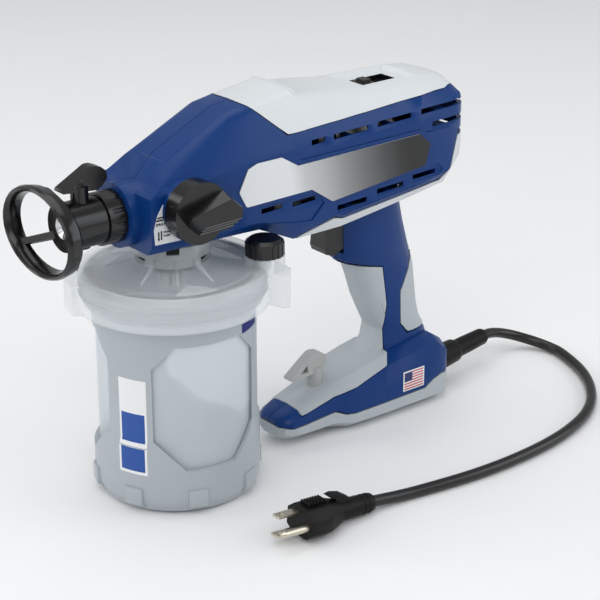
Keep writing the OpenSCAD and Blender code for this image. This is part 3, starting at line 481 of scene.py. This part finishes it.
class SPRAYER_OT_stage(bpy.types.Operator):
    """Camera, pale floor and soft studio lights."""

    bl_idname = "sprayer.stage"
    bl_label = "Stage"

    def execute(self, context):
        settings = context.scene.sprayer_stage
        self.camera(context, settings)
        self.floor(context)
        self.lights(context, settings)
        self.sky(context)
        context.scene.view_settings.view_transform = "Standard"
        context.scene.view_settings.look = "None"
        return {"FINISHED"}

    def camera(self, context, settings):
        """A long lens that looks down on the nozzle's side."""
        turn, tilt = CAMERA_TURN, CAMERA_TILT
        back = Vector((math.sin(turn) * math.cos(tilt), -math.cos(turn) * math.cos(tilt), math.sin(tilt)))
        right = Vector((math.cos(turn), math.sin(turn), 0.0))
        up = Vector((-math.sin(turn) * math.sin(tilt), math.cos(turn) * math.sin(tilt), math.cos(tilt)))
        data = bpy.data.cameras.new("camera")
        data.sensor_width = 36.0
        data.lens = settings.focal
        data.clip_start, data.clip_end = 0.05, 20.0
        camera = bpy.data.objects.new("camera", data)
        camera.matrix_world = Matrix.Translation(CAMERA_AT) @ Matrix((right, up, back)).transposed().to_4x4()
        context.scene.collection.objects.link(camera)
        context.scene.camera = camera

    def floor(self, context):
        """Pale paper."""
        bm = bmesh.new()
        bmesh.ops.create_grid(bm, x_segments=2, y_segments=2, size=FLOOR_HALF)
        mesh = bpy.data.meshes.new("floor")
        bm.to_mesh(mesh)
        bm.free()
        paper = moulded("floor paper", (0.88, 0.88, 0.885), rough=0.85, drift=0.05, grain=0.0, mottle=0.01)
        mesh.materials.append(paper)
        floor = bpy.data.objects.new("floor", mesh)
        floor.location.z = -FLOOR_DROP
        context.scene.collection.objects.link(floor)

    def lights(self, context, settings):
        """Square soft lights, all aimed at the sprayer."""
        for name, at, size, power, shade in (
            ("key", (-0.9, -1.1, 1.7), 1.3, settings.key, (1.0, 0.985, 0.96)),
            ("fill", (1.5, -1.3, 1.0), 1.6, settings.fill, (0.95, 0.975, 1.0)),
            ("top", (0.1, 0.4, 1.9), 1.6, settings.fill * 0.75, (1.0, 1.0, 1.0)),
            ("side", (-1.6, -0.3, 0.9), 1.0, settings.fill * 0.3, (1.0, 1.0, 1.0)),
            ("back", (-1.3, 1.2, 0.8), 1.2, settings.fill * 0.6, (1.0, 1.0, 1.0)),
        ):
            light = bpy.data.lights.new(name, "AREA")
            light.energy, light.size, light.color = power, size, shade
            lamp = bpy.data.objects.new(name, light)
            lamp.location = at
            lamp.rotation_euler = (LIGHTS_AIM - Vector(at)).to_track_quat("-Z", "Y").to_euler()
            context.scene.collection.objects.link(lamp)

    def sky(self, context):
        """Even light from all round."""
        world = bpy.data.worlds.new("studio")
        world.use_nodes = True
        background = world.node_tree.nodes["Background"]
        background.inputs["Color"].default_value = SKY
        background.inputs["Strength"].default_value = SKY_STRENGTH
        context.scene.world = world


# ---------------------------------------------------------------- lead


# The lead's route from its strain relief to its plug, in millimetres
LEAD_ROUTE = [
    (284.3, 9.4, 19.2), (294, 11.2, 18.2), (304.5, 12.5, 15.2), (314.8, 10.7, 11.6), (323.6, 5.5, 8.2),
    (330.2, -2.5, 5.6), (333.6, -12.3, 4.2), (333.9, -22, 3.8), (331.3, -32, 3.8), (327.5, -43, 3.8),
    (321.5, -57, 3.8), (313, -71, 3.8), (302, -84.5, 3.8), (288.5, -97, 3.8), (272, -107.5, 3.8),
    (254, -115, 3.8), (234, -120.5, 3.8), (212, -124, 3.8), (189, -125.6, 3.8), (166, -125.6, 3.8),
    (143, -124, 3.8), (121, -121, 3.8), (101, -117.8, 3.9), (88, -116, 4.6), (77, -114.7, 5.6),
    (67.2, -113.7, 6.7),
]
RELIEF_WAY = Matrix.Rotation(math.radians(9.0), 3, "Z") @ Vector((1, 0, 0))
PLUG_PLACE = (
    Matrix.Translation((0.0105, -0.1122, 0.0116))
    @ Matrix.Rotation(math.radians(-1.5), 4, "Z")
    @ Matrix.Rotation(math.radians(5.0), 4, "Y")
)

# Grip ribs across the plug, measured in the plug's own place
PLUG_RIBS = 7
PLUG_RIB_START = 0.0035
PLUG_RIB_STEP = 0.0021
PLUG_RIB_WIDTH = 0.0011
PLUG_RIB_HALF = 0.0045
PLUG_RIB_HEIGHTS = ((-0.0097, -0.0085), (0.0105, 0.0128))


class SPRAYER_OT_lead(bpy.types.Operator):
    """Mains lead, strain relief, plug, blades and ground pin."""

    bl_idname = "sprayer.lead"
    bl_label = "Lead and plug"

    def execute(self, context):
        settings = context.scene.sprayer_lead
        rubber = moulded(
            "plug rubber", settings.black, rough=0.42, drift=0.05, grain=0.00001, mottle=0.2,
            **{"Specular IOR Level": 0.16},
        )
        plated = metal("plated brass", (0.66, 0.61, 0.5), brush=(0, 1, 0))
        points = [Vector(p) * MM for p in LEAD_ROUTE]
        lead = self.lead(context, settings, points)
        body = dressed("plug_body", rubber, edge=0.0007, segments=3)
        dressed("strain_relief", rubber, edge=0.0005, segments=3)
        blades = dressed("plug_blades", plated, edge=0.0003)
        pin = dressed("ground_pin", plated, edge=0.0)
        grips = self.grips(rubber)
        return {"FINISHED"}

    def lead(self, context, settings, points):
        """A round lead that runs smoothly through the points of its route."""
        curve = bpy.data.curves.new("lead", "CURVE")
        curve.dimensions = "3D"
        curve.bevel_depth = settings.diameter / 2
        curve.bevel_resolution = 6
        curve.resolution_u = 8
        curve.use_fill_caps = True
        line = curve.splines.new("BEZIER")
        line.bezier_points.add(len(points) - 1)
        for i, (knot, at) in enumerate(zip(line.bezier_points, points)):
            before, after = points[max(i - 1, 0)], points[min(i + 1, len(points) - 1)]
            along = RELIEF_WAY if i == 0 else (after - before).normalized()
            knot.handle_left_type = knot.handle_right_type = "FREE"
            knot.co = at
            knot.handle_left = at - along * (at - before).length / 3
            knot.handle_right = at + along * (after - at).length / 3
        jacket = moulded(
            "lead jacket", settings.black,
            rough=0.3, drift=0.05, grain=0.000005, grain_size=0.0005, mottle=0.2,
        )
        curve.materials.append(jacket)
        lead = bpy.data.objects.new("mains_lead", curve)
        context.scene.collection.objects.link(lead)
        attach(lead, "housing")
        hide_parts("cord")
        return lead

    def grips(self, rubber):
        """Finger ribs above and below the plug."""
        bm = bmesh.new()
        for low, high in PLUG_RIB_HEIGHTS:
            for row in range(PLUG_RIBS):
                x = PLUG_RIB_START + row * PLUG_RIB_STEP
                block(bm, (x, -PLUG_RIB_HALF, low), (x + PLUG_RIB_WIDTH, PLUG_RIB_HALF, high), edge=0.0003)
        bmesh.ops.transform(bm, matrix=PLUG_PLACE, verts=bm.verts)
        return solid("plug_grips", bm, "housing", rubber)


# ---------------------------------------------------------------- housing


class SPRAYER_OT_housing(bpy.types.Operator):
    """Housing halves, top cover, trim, grips, bumper and screws."""

    bl_idname = "sprayer.housing"
    bl_label = "Housing"

    def execute(self, context):
        settings = context.scene.sprayer_shell
        blue = moulded(
            "housing blue", settings.blue, rough=0.33, drift=0.04, grain=0.000006, mottle=0.04,
            **{"Specular IOR Level": 0.24},
        )
        white = moulded("cover white", settings.white, rough=0.42, drift=0.04, grain=0.000008, mottle=0.02)
        soft = moulded(
            "grip rubber", settings.grip,
            rough=0.55, drift=0.05, grain=0.00002, grain_size=0.0007, mottle=0.03,
        )
        halves = {"edge": settings.half_edge, "smooth_under": 38.0, "bevel_over": 56.0, "joint": 0.0002}
        for node in ("housing_left", "housing_right"):
            dressed(node, blue, **halves)
        covers = {"edge": settings.cover_edge, "segments": 3, "smooth_under": 38.0, "bevel_over": 42.0}
        for node in ("top_cover", "underside_trim"):
            dressed(node, white, proud=0.0003, joint=0.0005, **covers)
        for node in ("front_grip", "rear_grip", "base_bumper"):
            dressed(node, soft, edge=settings.grip_edge, proud=0.0002, joint=0.0008)
        finish_node("housing_screws", metal("screw steel", (0.5, 0.5, 0.52), rough=0.35))
        return {"FINISHED"}


# ---------------------------------------------------------------- panels


# The side panel darkens along X, and a little with height: its fade is measured at this height
FADE_LEAN = 0.2
FADE_HEIGHT = 0.2
FADE_TONES = ((0.12, 0.53), (0.28, 0.4), (0.44, 0.24), (0.6, 0.135), (0.76, 0.06), (0.9, 0.016))
PANEL_RIM = (0.36, 0.37, 0.38)
PANEL_FACING = -0.85  # the panel's face has a normal with a Y below this, and its rim has not

# The selector plate runs between two corners of (x, y). Its marks lie on its face, in millimetres
# along it and up it
PLATE_START = (-35, -29.5)
PLATE_END = (20, -35)
PLATE_FACE = 0.0008
MARK_THICK = 0.0001
ARROW_LONG = 1.5
ARROW_HALF = 0.8
LETTER_THICK = 0.00005  # on each side of the letters' middle
LETTER_BOLD = 0.00007

# The striped sticker on the base
FLAG_X = (0.1752, 0.1946)
FLAG_Y = (-0.0243, -0.0237)
FLAG_Z = (0.0178, 0.0326)
FLAG_RIM = 0.0009
FLAG_STRIPES = 13
FLAG_CORNER = 0.0082
FLAG_CORNER_STRIPES = 7
FLAG_WHITE = (0.82, 0.82, 0.82)
FLAG_RED = (0.5, 0.035, 0.04)
FLAG_BLUE = (0.015, 0.03, 0.13)

# The sticker on the cup support: turns about the cup in degrees, heights in metres
STICKER_TURNS = (-167.5, -145.7)
STICKER_Z = (0.0275, 0.0915)
STICKER_MARGIN = 1.6
STICKER_BLOCKS = ((0.0215, 0.041), (0.002, 0.018))
STICKER_WHITE = (0.8, 0.81, 0.82)


def bar(bm, u0, v0, u1, v1):
    """A flat bar on the selector plate between two corners."""
    block(bm, (u0 * MM, v0 * MM, PLATE_FACE), (u1 * MM, v1 * MM, PLATE_FACE + MARK_THICK))


def arrow(bm, u, v, du, dv):
    """A flat arrowhead on the selector plate whose tip lies at (u, v) and points along (du, dv)."""
    foot_u, foot_v = u - ARROW_LONG * du, v - ARROW_LONG * dv
    side_u, side_v = -ARROW_HALF * dv, ARROW_HALF * du
    corners = [(u, v), (foot_u + side_u, foot_v + side_v), (foot_u - side_u, foot_v - side_v)]
    face = bm.faces.new([bm.verts.new((a * MM, b * MM, PLATE_FACE)) for a, b in corners])
    made = bmesh.ops.extrude_face_region(bm, geom=[face])["geom"]
    top = [part for part in made if isinstance(part, bmesh.types.BMVert)]
    bmesh.ops.translate(bm, vec=(0, 0, MARK_THICK), verts=top)


def lettering(bm, word, size, u, v):
    """A raised word on the selector plate, its foot at (u, v)."""
    curve = bpy.data.curves.new(word, "FONT")
    curve.body, curve.size, curve.extrude, curve.offset = word, size * MM, LETTER_THICK, LETTER_BOLD
    holder = bpy.data.objects.new(word, curve)
    mesh = bpy.data.meshes.new_from_object(holder)
    start = len(bm.verts)
    bm.from_mesh(mesh)
    bm.verts.ensure_lookup_table()
    bmesh.ops.translate(bm, vec=(u * MM, v * MM, PLATE_FACE + LETTER_THICK), verts=bm.verts[start:])
    bpy.data.objects.remove(holder)
    bpy.data.curves.remove(curve)
    bpy.data.meshes.remove(mesh)


# Each mark's numbers are those of the function that draws it, and each word's are its size and place
MARKS = (
    (bar, 3.6, 194.95, 7.8, 195.85),
    (arrow, 9.5, 195.4, 1.2, 0),
    (bar, 2.8, 193.3, 7.6, 194.3),
    (bar, 3.85, 182.0, 4.85, 186.6),
    (arrow, 4.35, 180.6, 0, -1.2),
    (bar, 5.7, 181.4, 6.7, 187.0),
)
WORDS = (("SPRAY", 2.3, 2.5, 190.4), ("PRIME", 1.9, 7.6, 185.2), ("PUMP", 1.9, 7.6, 183.0))


def side_panel_fade(settings):
    """The side panel runs from white through silver to near black."""
    material, add = tree_of("side panel")
    place = placed(add)
    x, _, z = split(add, place)
    slant = calculated(add, "MULTIPLY_ADD", z, FADE_LEAN, x)
    lift = FADE_LEAN * FADE_HEIGHT
    along = ranged(add, slant, 0.0, 1.0, start=settings.fade_start + lift, end=settings.fade_end + lift)
    ramp = add("ShaderNodeValToRGB", {"Fac": along})
    stops = ramp.color_ramp.elements
    stops[0].position, stops[0].color = 0.0, rgba(settings.light)
    stops[1].position, stops[1].color = 1.0, rgba(settings.dark)
    for at, tone in FADE_TONES:
        stops.new(at).color = (tone, 1.02 * tone, 1.04 * tone, 1.0)
    grit = noise(add, place, scale=900.0)
    facing = split(add, add("ShaderNodeNewGeometry").outputs["True Normal"])
    rim = calculated(add, "GREATER_THAN", facing[1], PANEL_FACING)
    surface(add, {
        "Base Color": mixed(add, ramp.outputs["Color"], PANEL_RIM, rim),
        "Roughness": ranged(add, grit, 0.3, 0.42),
        "Normal": relief(add, grit, strength=0.2, depth=0.00002),
    })
    return material


def flag_print():
    """Red and white stripes with a blue corner, inside a white rim."""
    material, add = tree_of("flag sticker")
    x, _, z = split(add, placed(add))
    left, right = FLAG_X[0] + FLAG_RIM, FLAG_X[1] - FLAG_RIM
    foot, top = FLAG_Z[0] + FLAG_RIM, FLAG_Z[1] - FLAG_RIM
    band = (FLAG_Z[1] - FLAG_Z[0] - 2 * FLAG_RIM) / FLAG_STRIPES
    count = calculated(add, "MULTIPLY_ADD", z, 1.0 / (2 * band), -foot / (2 * band))
    red = calculated(add, "LESS_THAN", calculated(add, "FRACT", count), 0.5)
    inside = calculated(add, "MULTIPLY", between(add, x, left, right), between(add, z, foot, top))
    in_corner_x = calculated(add, "LESS_THAN", x, FLAG_X[0] + FLAG_CORNER)
    in_corner_z = calculated(add, "GREATER_THAN", z, top - FLAG_CORNER_STRIPES * band)
    stripes = mixed(add, FLAG_WHITE, FLAG_RED, red)
    flag = mixed(add, stripes, FLAG_BLUE, calculated(add, "MULTIPLY", in_corner_x, in_corner_z))
    return printed(material, add, mixed(add, FLAG_WHITE, flag, inside), fine=500.0, rough=(0.3, 0.4))


def cup_print(blue):
    """Two plain blue blocks on white, one above the other."""
    material, add = tree_of("cup sticker")
    x, y, z = split(add, placed(add))
    start = math.radians(STICKER_TURNS[0] + STICKER_MARGIN)
    end = math.radians(STICKER_TURNS[1] - STICKER_MARGIN)
    across = between(add, calculated(add, "ARCTAN2", y, x), start, end)
    foot = STICKER_Z[0]
    upper, lower = [between(add, z, foot + low, foot + high) for low, high in STICKER_BLOCKS]
    blocks = calculated(add, "MAXIMUM", upper, lower)
    shown = mixed(add, STICKER_WHITE, blue, calculated(add, "MULTIPLY", across, blocks))
    return printed(material, add, shown, fine=400.0, rough=(0.28, 0.4))


class SPRAYER_OT_panels(bpy.types.Operator):
    """Side panel, selector plate and plain stickers."""

    bl_idname = "sprayer.panels"
    bl_label = "Panels and stickers"

    def execute(self, context):
        settings = context.scene.sprayer_panel
        dressed("label_panel", side_panel_fade(settings), edge=0.0005)
        plate = moulded("selector plate", settings.light, rough=0.4, drift=0.04, grain=0.00001, mottle=0.02)
        dressed("selector_plate", plate, edge=0.0002)
        self.marks()
        self.flag()
        self.cup_sticker(settings)
        return {"FINISHED"}

    def marks(self):
        """Two arrows, four bars and three plain words on the selector plate."""
        bm = bmesh.new()
        for draw, *numbers in MARKS:
            draw(bm, *numbers)
        for word, *numbers in WORDS:
            lettering(bm, word, *numbers)
        lean = math.atan((PLATE_START[1] - PLATE_END[1]) / (PLATE_END[0] - PLATE_START[0]))
        place = (
            Matrix.Translation((PLATE_START[0] * MM, PLATE_START[1] * MM, 0))
            @ Matrix.Rotation(-lean, 4, "Z")
            @ Matrix.Rotation(math.pi / 2, 4, "X")
        )
        bmesh.ops.transform(bm, matrix=place, verts=bm.verts)
        ink = moulded("ink", (0.012, 0.012, 0.013), rough=0.4, drift=0.04, grain=0.0)
        solid("selector_marks", bm, "housing", ink)

    def flag(self):
        """A small striped flag sticker with a blue corner, on the base."""
        bm = bmesh.new()
        block(bm, *zip(FLAG_X, FLAG_Y, FLAG_Z), edge=0.0001)
        solid("flag_sticker", bm, "housing", flag_print())

    def cup_sticker(self, settings):
        """A plain white sticker with blue blocks, wrapped round the cup support's pillar."""
        bm = bmesh.new()
        wrapped(bm, STICKER_TURNS, STICKER_Z, columns=14, rows=22)
        bmesh.ops.recalc_face_normals(bm, faces=bm.faces)
        bmesh.ops.solidify(bm, geom=bm.faces[:], thickness=0.0002)
        solid("cup_sticker", bm, "cup", cup_print(settings.blue))


# ---------------------------------------------------------------- nozzle


SPRAY_AXIS_Z = 0.1915
FORWARD = Matrix.Rotation(-math.pi / 2, 4, "Y")  # from +Z to the way it sprays
INSERT_X = -0.0689
INSERT_OUTLINE = ((0, 0), (1.8, 0), (1.8, 1.2), (1.1, 2), (0.5, 2), (0.4, 1), (0, 1))
MOUTH_X = -0.0765
MOUTH_OUTLINE = (
    (2.8, 0), (6.9, 0), (6.9, 2.3), (5.9, 2.7), (4.8, 2.2), (3.4, 0.9), (2.8, 0.5), (2.8, 0),
)


class SPRAYER_OT_nozzle(bpy.types.Operator):
    """Retaining nut, tip guard, spray tip, seat and spare tip."""

    bl_idname = "sprayer.nozzle"
    bl_label = "Nozzle"

    def execute(self, context):
        settings = context.scene.sprayer_nozzle
        black = moulded("nozzle black", settings.black, rough=0.2, drift=0.04, grain=0.000003, mottle=0.15)
        grey = moulded("spare tip grey", (0.42, 0.43, 0.42), rough=0.45, drift=0.06)
        steel = metal("tip steel", (0.62, 0.63, 0.65), rough=0.22, brush=(1, 0, 0))
        dressed("retaining_nut", black, edge=settings.edge)
        dressed("tip_guard", black, edge=settings.edge, segments=3, bevel_over=30.0)
        dressed("spray_tip", black, edge=settings.edge)
        dressed("spare_tip", grey, edge=settings.edge)
        finish_node("tip_seat", steel)
        finish_node("outlet_fitting", steel)
        self.turned("tip_insert", "tip", INSERT_X, INSERT_OUTLINE, steel)
        self.turned("guard_mouth", "guard", MOUTH_X, MOUTH_OUTLINE, steel)
        return {"FINISHED"}

    def turned(self, name, body, x, outline, steel):
        """A turned steel piece on the spray axis that starts at x and points forward."""
        bm = bmesh.new()
        lathe(bm, outline)
        bmesh.ops.transform(bm, matrix=Matrix.Translation((x, 0, SPRAY_AXIS_Z)) @ FORWARD, verts=bm.verts)
        solid(name, bm, body, steel)


# ---------------------------------------------------------------- controls


# The prime knob's tail has a front and a back edge, from its top to its foot, measured from the
# knob's centre in millimetres. The ribs run across it at these shares of the way down
KNOB_CENTRE = Vector((-10, -35.3, 198))
TAIL_EDGES = (((-5.2, -20.4, -5.5), (-2.4, -8.6, -15.6)), ((22.6, -20.4, -5.0), (21.6, -8.6, -15.2)))
TAIL_RIBS = (0.04, 0.34, 0.66)
TAIL_RIB_RADIUS = 0.0006

# The painted shade inside the speed slider's slot, as dark sheets on its walls and floor, in millimetres
SLOT_SHADE_X = (149.02, 176.98)
SLOT_SHADE_Y = (-6.98, 6.98)
SLOT_SHADE_WALL = 0.09
SLOT_SHADE_FLOOR_Z = (236.43, 236.53)
SLOT_SHADE_WALL_Z = (236.6, 239.5)
SLOT_SHADE_BACK_Y = (-6.85, 6.85)


class SPRAYER_OT_controls(bpy.types.Operator):
    """Prime knob, trigger, switch and speed slider."""

    bl_idname = "sprayer.controls"
    bl_label = "Controls"

    def execute(self, context):
        settings = context.scene.sprayer_nozzle
        black = moulded("control black", settings.black, rough=0.2, drift=0.04, grain=0.000003, mottle=0.15)
        matt = moulded("trigger black", settings.black, rough=0.36, drift=0.05, grain=0.000008, mottle=0.15)
        dressed("prime_knob", black, edge=settings.edge, segments=3)
        self.knob_ribs()
        for node in ("trigger", "speed_slider"):
            dressed(node, matt, edge=settings.edge, segments=3)
        # Paints the shade inside the slider's slot with dark sheets
        self.slot_painted_shade()
        for node in ("trigger_switch", "speed_control"):
            finish_node(node, matt)
        return {"FINISHED"}

    def knob_ribs(self):
        """Polished ribs across the tail of the prime knob."""
        bm = bmesh.new()
        for share in TAIL_RIBS:
            front, back = [
                (KNOB_CENTRE + Vector(top).lerp(Vector(foot), share)) * MM for top, foot in TAIL_EDGES
            ]
            rod(bm, front, back, TAIL_RIB_RADIUS)
        polished = moulded(
            "polished rib", (0.01, 0.01, 0.0105), rough=0.14, drift=0.03, grain=0.0,
            **{"Specular IOR Level": 0.9},
        )
        solid("knob_ribs", bm, "knob", polished)

    def slot_painted_shade(self):
        """Thin dark faces inside the speed slider's slot, which paint the shade of its hollow."""
        (x0, x1), (y0, y1), (z0, z1) = SLOT_SHADE_X, SLOT_SHADE_Y, SLOT_SHADE_WALL_Z
        floor = ((x0, y0, SLOT_SHADE_FLOOR_Z[0]), (x1, y1, SLOT_SHADE_FLOOR_Z[1]))
        left = ((x0, y1 - SLOT_SHADE_WALL, z0), (x1, y1, z1))
        right = ((x0, y0, z0), (x1, y0 + SLOT_SHADE_WALL, z1))
        back = ((x1 - SLOT_SHADE_WALL, SLOT_SHADE_BACK_Y[0], z0), (x1, SLOT_SHADE_BACK_Y[1], z1))
        bm = bmesh.new()
        for low, high in (floor, left, right, back):
            block(bm, Vector(low) * MM, Vector(high) * MM)
        # A near black that paints the shade in the slot
        dark = moulded(
            "slot painted shade", (0.003, 0.003, 0.0035), rough=0.7, grain=0.0, **{"Specular IOR Level": 0.1}
        )
        solid("slot_painted_shade", bm, "housing", dark)


# ---------------------------------------------------------------- cup


MARK_TURNS = (-72.0, -50.0)
MARK_Z = (0.1145, 0.1205)
PADS = 8
PAD_FIRST = 23.5
PAD_LOW = (0.0505, -0.0062, 0.0062)
PAD_HIGH = (0.0549, 0.0062, 0.0178)


class SPRAYER_OT_cup(bpy.types.Operator):
    """Cup support, liner, frosted cover, gasket, vent cap and stem."""

    bl_idname = "sprayer.cup"
    bl_label = "Cup"

    def execute(self, context):
        settings = context.scene.sprayer_cup
        frosted = moulded(
            "frosted cover", settings.cover, rough=0.32, drift=0.04, grain=0.0, mottle=0.02,
            **{"IOR": 1.45, "Alpha": 0.34, "Coat Weight": 0.4, "Coat Roughness": 0.12},
        )
        film = moulded(
            "liner film", settings.liner, rough=0.34, drift=0.04, grain=0.0, mottle=0.02,
            **{"IOR": 1.4, "Alpha": 0.42},
        )
        smoke = moulded(
            "support grey", settings.support, rough=0.4, drift=0.04, grain=0.0, mottle=0.03,
            **{"IOR": 1.45, "Coat Weight": 0.15, "Coat Roughness": 0.3},
        )
        black = moulded(
            "cap black", (0.005, 0.005, 0.0053), rough=0.24, drift=0.05, grain=0.000006, mottle=0.2
        )
        foam = moulded("gasket foam", (0.62, 0.63, 0.63), rough=0.7, drift=0.05)
        pale = moulded("stem white", (0.7, 0.71, 0.71), rough=0.4, drift=0.05)
        dressed("cup_cover", frosted, edge=0.0)
        dressed("cup_liner", film, edge=0.0)
        dressed("cup_support", smoke, edge=settings.support_edge, segments=3, bevel_over=50.0)
        self.blue_strip()
        self.pads(smoke)
        dressed("valve_cap", black, edge=settings.cap_edge, segments=3)
        finish_node("cover_gasket", foam)
        finish_node("valve_stem", pale)
        finish_node("inlet_filter", pale)
        finish_node("inlet_fitting", black)
        return {"FINISHED"}

    def blue_strip(self):
        """A short blue strip on the support."""
        bm = bmesh.new()
        wrapped(bm, MARK_TURNS, MARK_Z, columns=8, rows=1)
        # Its normals are still the flat grid's, so that its second layer lies below and not behind
        bmesh.ops.solidify(bm, geom=bm.faces[:], thickness=0.0001)
        blue = moulded("mark blue", (0.02, 0.04, 0.3), rough=0.4, grain=0.0)
        solid("blue_strip", bm, "cup", blue)

    def pads(self, smoke):
        """Raised pads round the foot of the support."""
        bm = bmesh.new()
        for i in range(PADS):
            turn = Matrix.Rotation(math.radians(PAD_FIRST + i * 360 / PADS), 4, "Z")
            block(bm, PAD_LOW, PAD_HIGH, edge=0.0008, turn=turn)
        solid("support_pads", bm, "cup", smoke)


# ---------------------------------------------------------------- drive


class SPRAYER_OT_drive(bpy.types.Operator):
    """Motor, gears, cam, piston and pump block inside the housing."""

    bl_idname = "sprayer.drive"
    bl_label = "Drive"

    def execute(self, context):
        steel = metal("drive steel", (0.52, 0.53, 0.55), brush=(1, 0, 0))
        iron = metal("core iron", (0.2, 0.2, 0.21), rough=0.45, brush=(1, 0, 0))
        bronze = metal("bearing bronze", (0.5, 0.36, 0.16), rough=0.4, brush=(1, 0, 0))
        alloy = metal("cast alloy", (0.5, 0.51, 0.53), rough=0.5, brush=(0, 0, 0), turned=0.00003)
        black = moulded("drive black", (0.012, 0.012, 0.013), rough=0.45, drift=0.06)
        for material, nodes in (
            (steel, ("motor_pinion", "drive_gear", "cam_shaft", "piston", "piston_spring", "prime_stem")),
            (steel, ("front_bearing", "rear_bearing")),
            (iron, ("motor_stator", "armature")),
            (bronze, ("gear_bearing",)),
            (alloy, ("gear_bracket", "pump_block")),
            (black, ("cooling_fan", "brush_holders")),
        ):
            for node in nodes:
                finish_node(node, material)
        return {"FINISHED"}


# ---------------------------------------------------------------- sidebar and registration


STEPS = (
    SPRAYER_OT_stage,
    SPRAYER_OT_lead,
    SPRAYER_OT_housing,
    SPRAYER_OT_panels,
    SPRAYER_OT_nozzle,
    SPRAYER_OT_controls,
    SPRAYER_OT_cup,
    SPRAYER_OT_drive,
)
GROUPS = {
    "sprayer_stage": StageSettings,
    "sprayer_lead": LeadSettings,
    "sprayer_shell": ShellSettings,
    "sprayer_panel": PanelSettings,
    "sprayer_nozzle": NozzleSettings,
    "sprayer_cup": CupSettings,
}


class SPRAYER_PT_sidebar(bpy.types.Panel):
    """Sizes, colours and steps of the sprayer."""

    bl_idname = "SPRAYER_PT_sidebar"
    bl_label = "Sprayer"
    bl_space_type = "VIEW_3D"
    bl_region_type = "UI"
    bl_category = "Sprayer"

    def draw(self, context):
        for name, group in GROUPS.items():
            box = self.layout.box()
            box.label(text=group.__doc__)
            settings = getattr(context.scene, name)
            for key in group.__annotations__:
                box.prop(settings, key)
        for step in STEPS:
            self.layout.operator(step.bl_idname)


def register():
    """Registers the settings, operators and panel."""
    for item in (*GROUPS.values(), *STEPS, SPRAYER_PT_sidebar):
        bpy.utils.register_class(item)
    for name, group in GROUPS.items():
        setattr(bpy.types.Scene, name, PointerProperty(type=group))


def unregister():
    """Takes away what register added."""
    for name in GROUPS:
        delattr(bpy.types.Scene, name)
    for item in reversed((*GROUPS.values(), *STEPS, SPRAYER_PT_sidebar)):
        bpy.utils.unregister_class(item)


def main():
    """Builds the scene step by step."""
    register()
    bpy.ops.sprayer.stage()
    bpy.ops.sprayer.lead()
    bpy.ops.sprayer.housing()
    bpy.ops.sprayer.panels()
    bpy.ops.sprayer.nozzle()
    bpy.ops.sprayer.controls()
    bpy.ops.sprayer.cup()
    bpy.ops.sprayer.drive()
    bpy.context.view_layer.update()


if __name__ == "__main__":
    main()
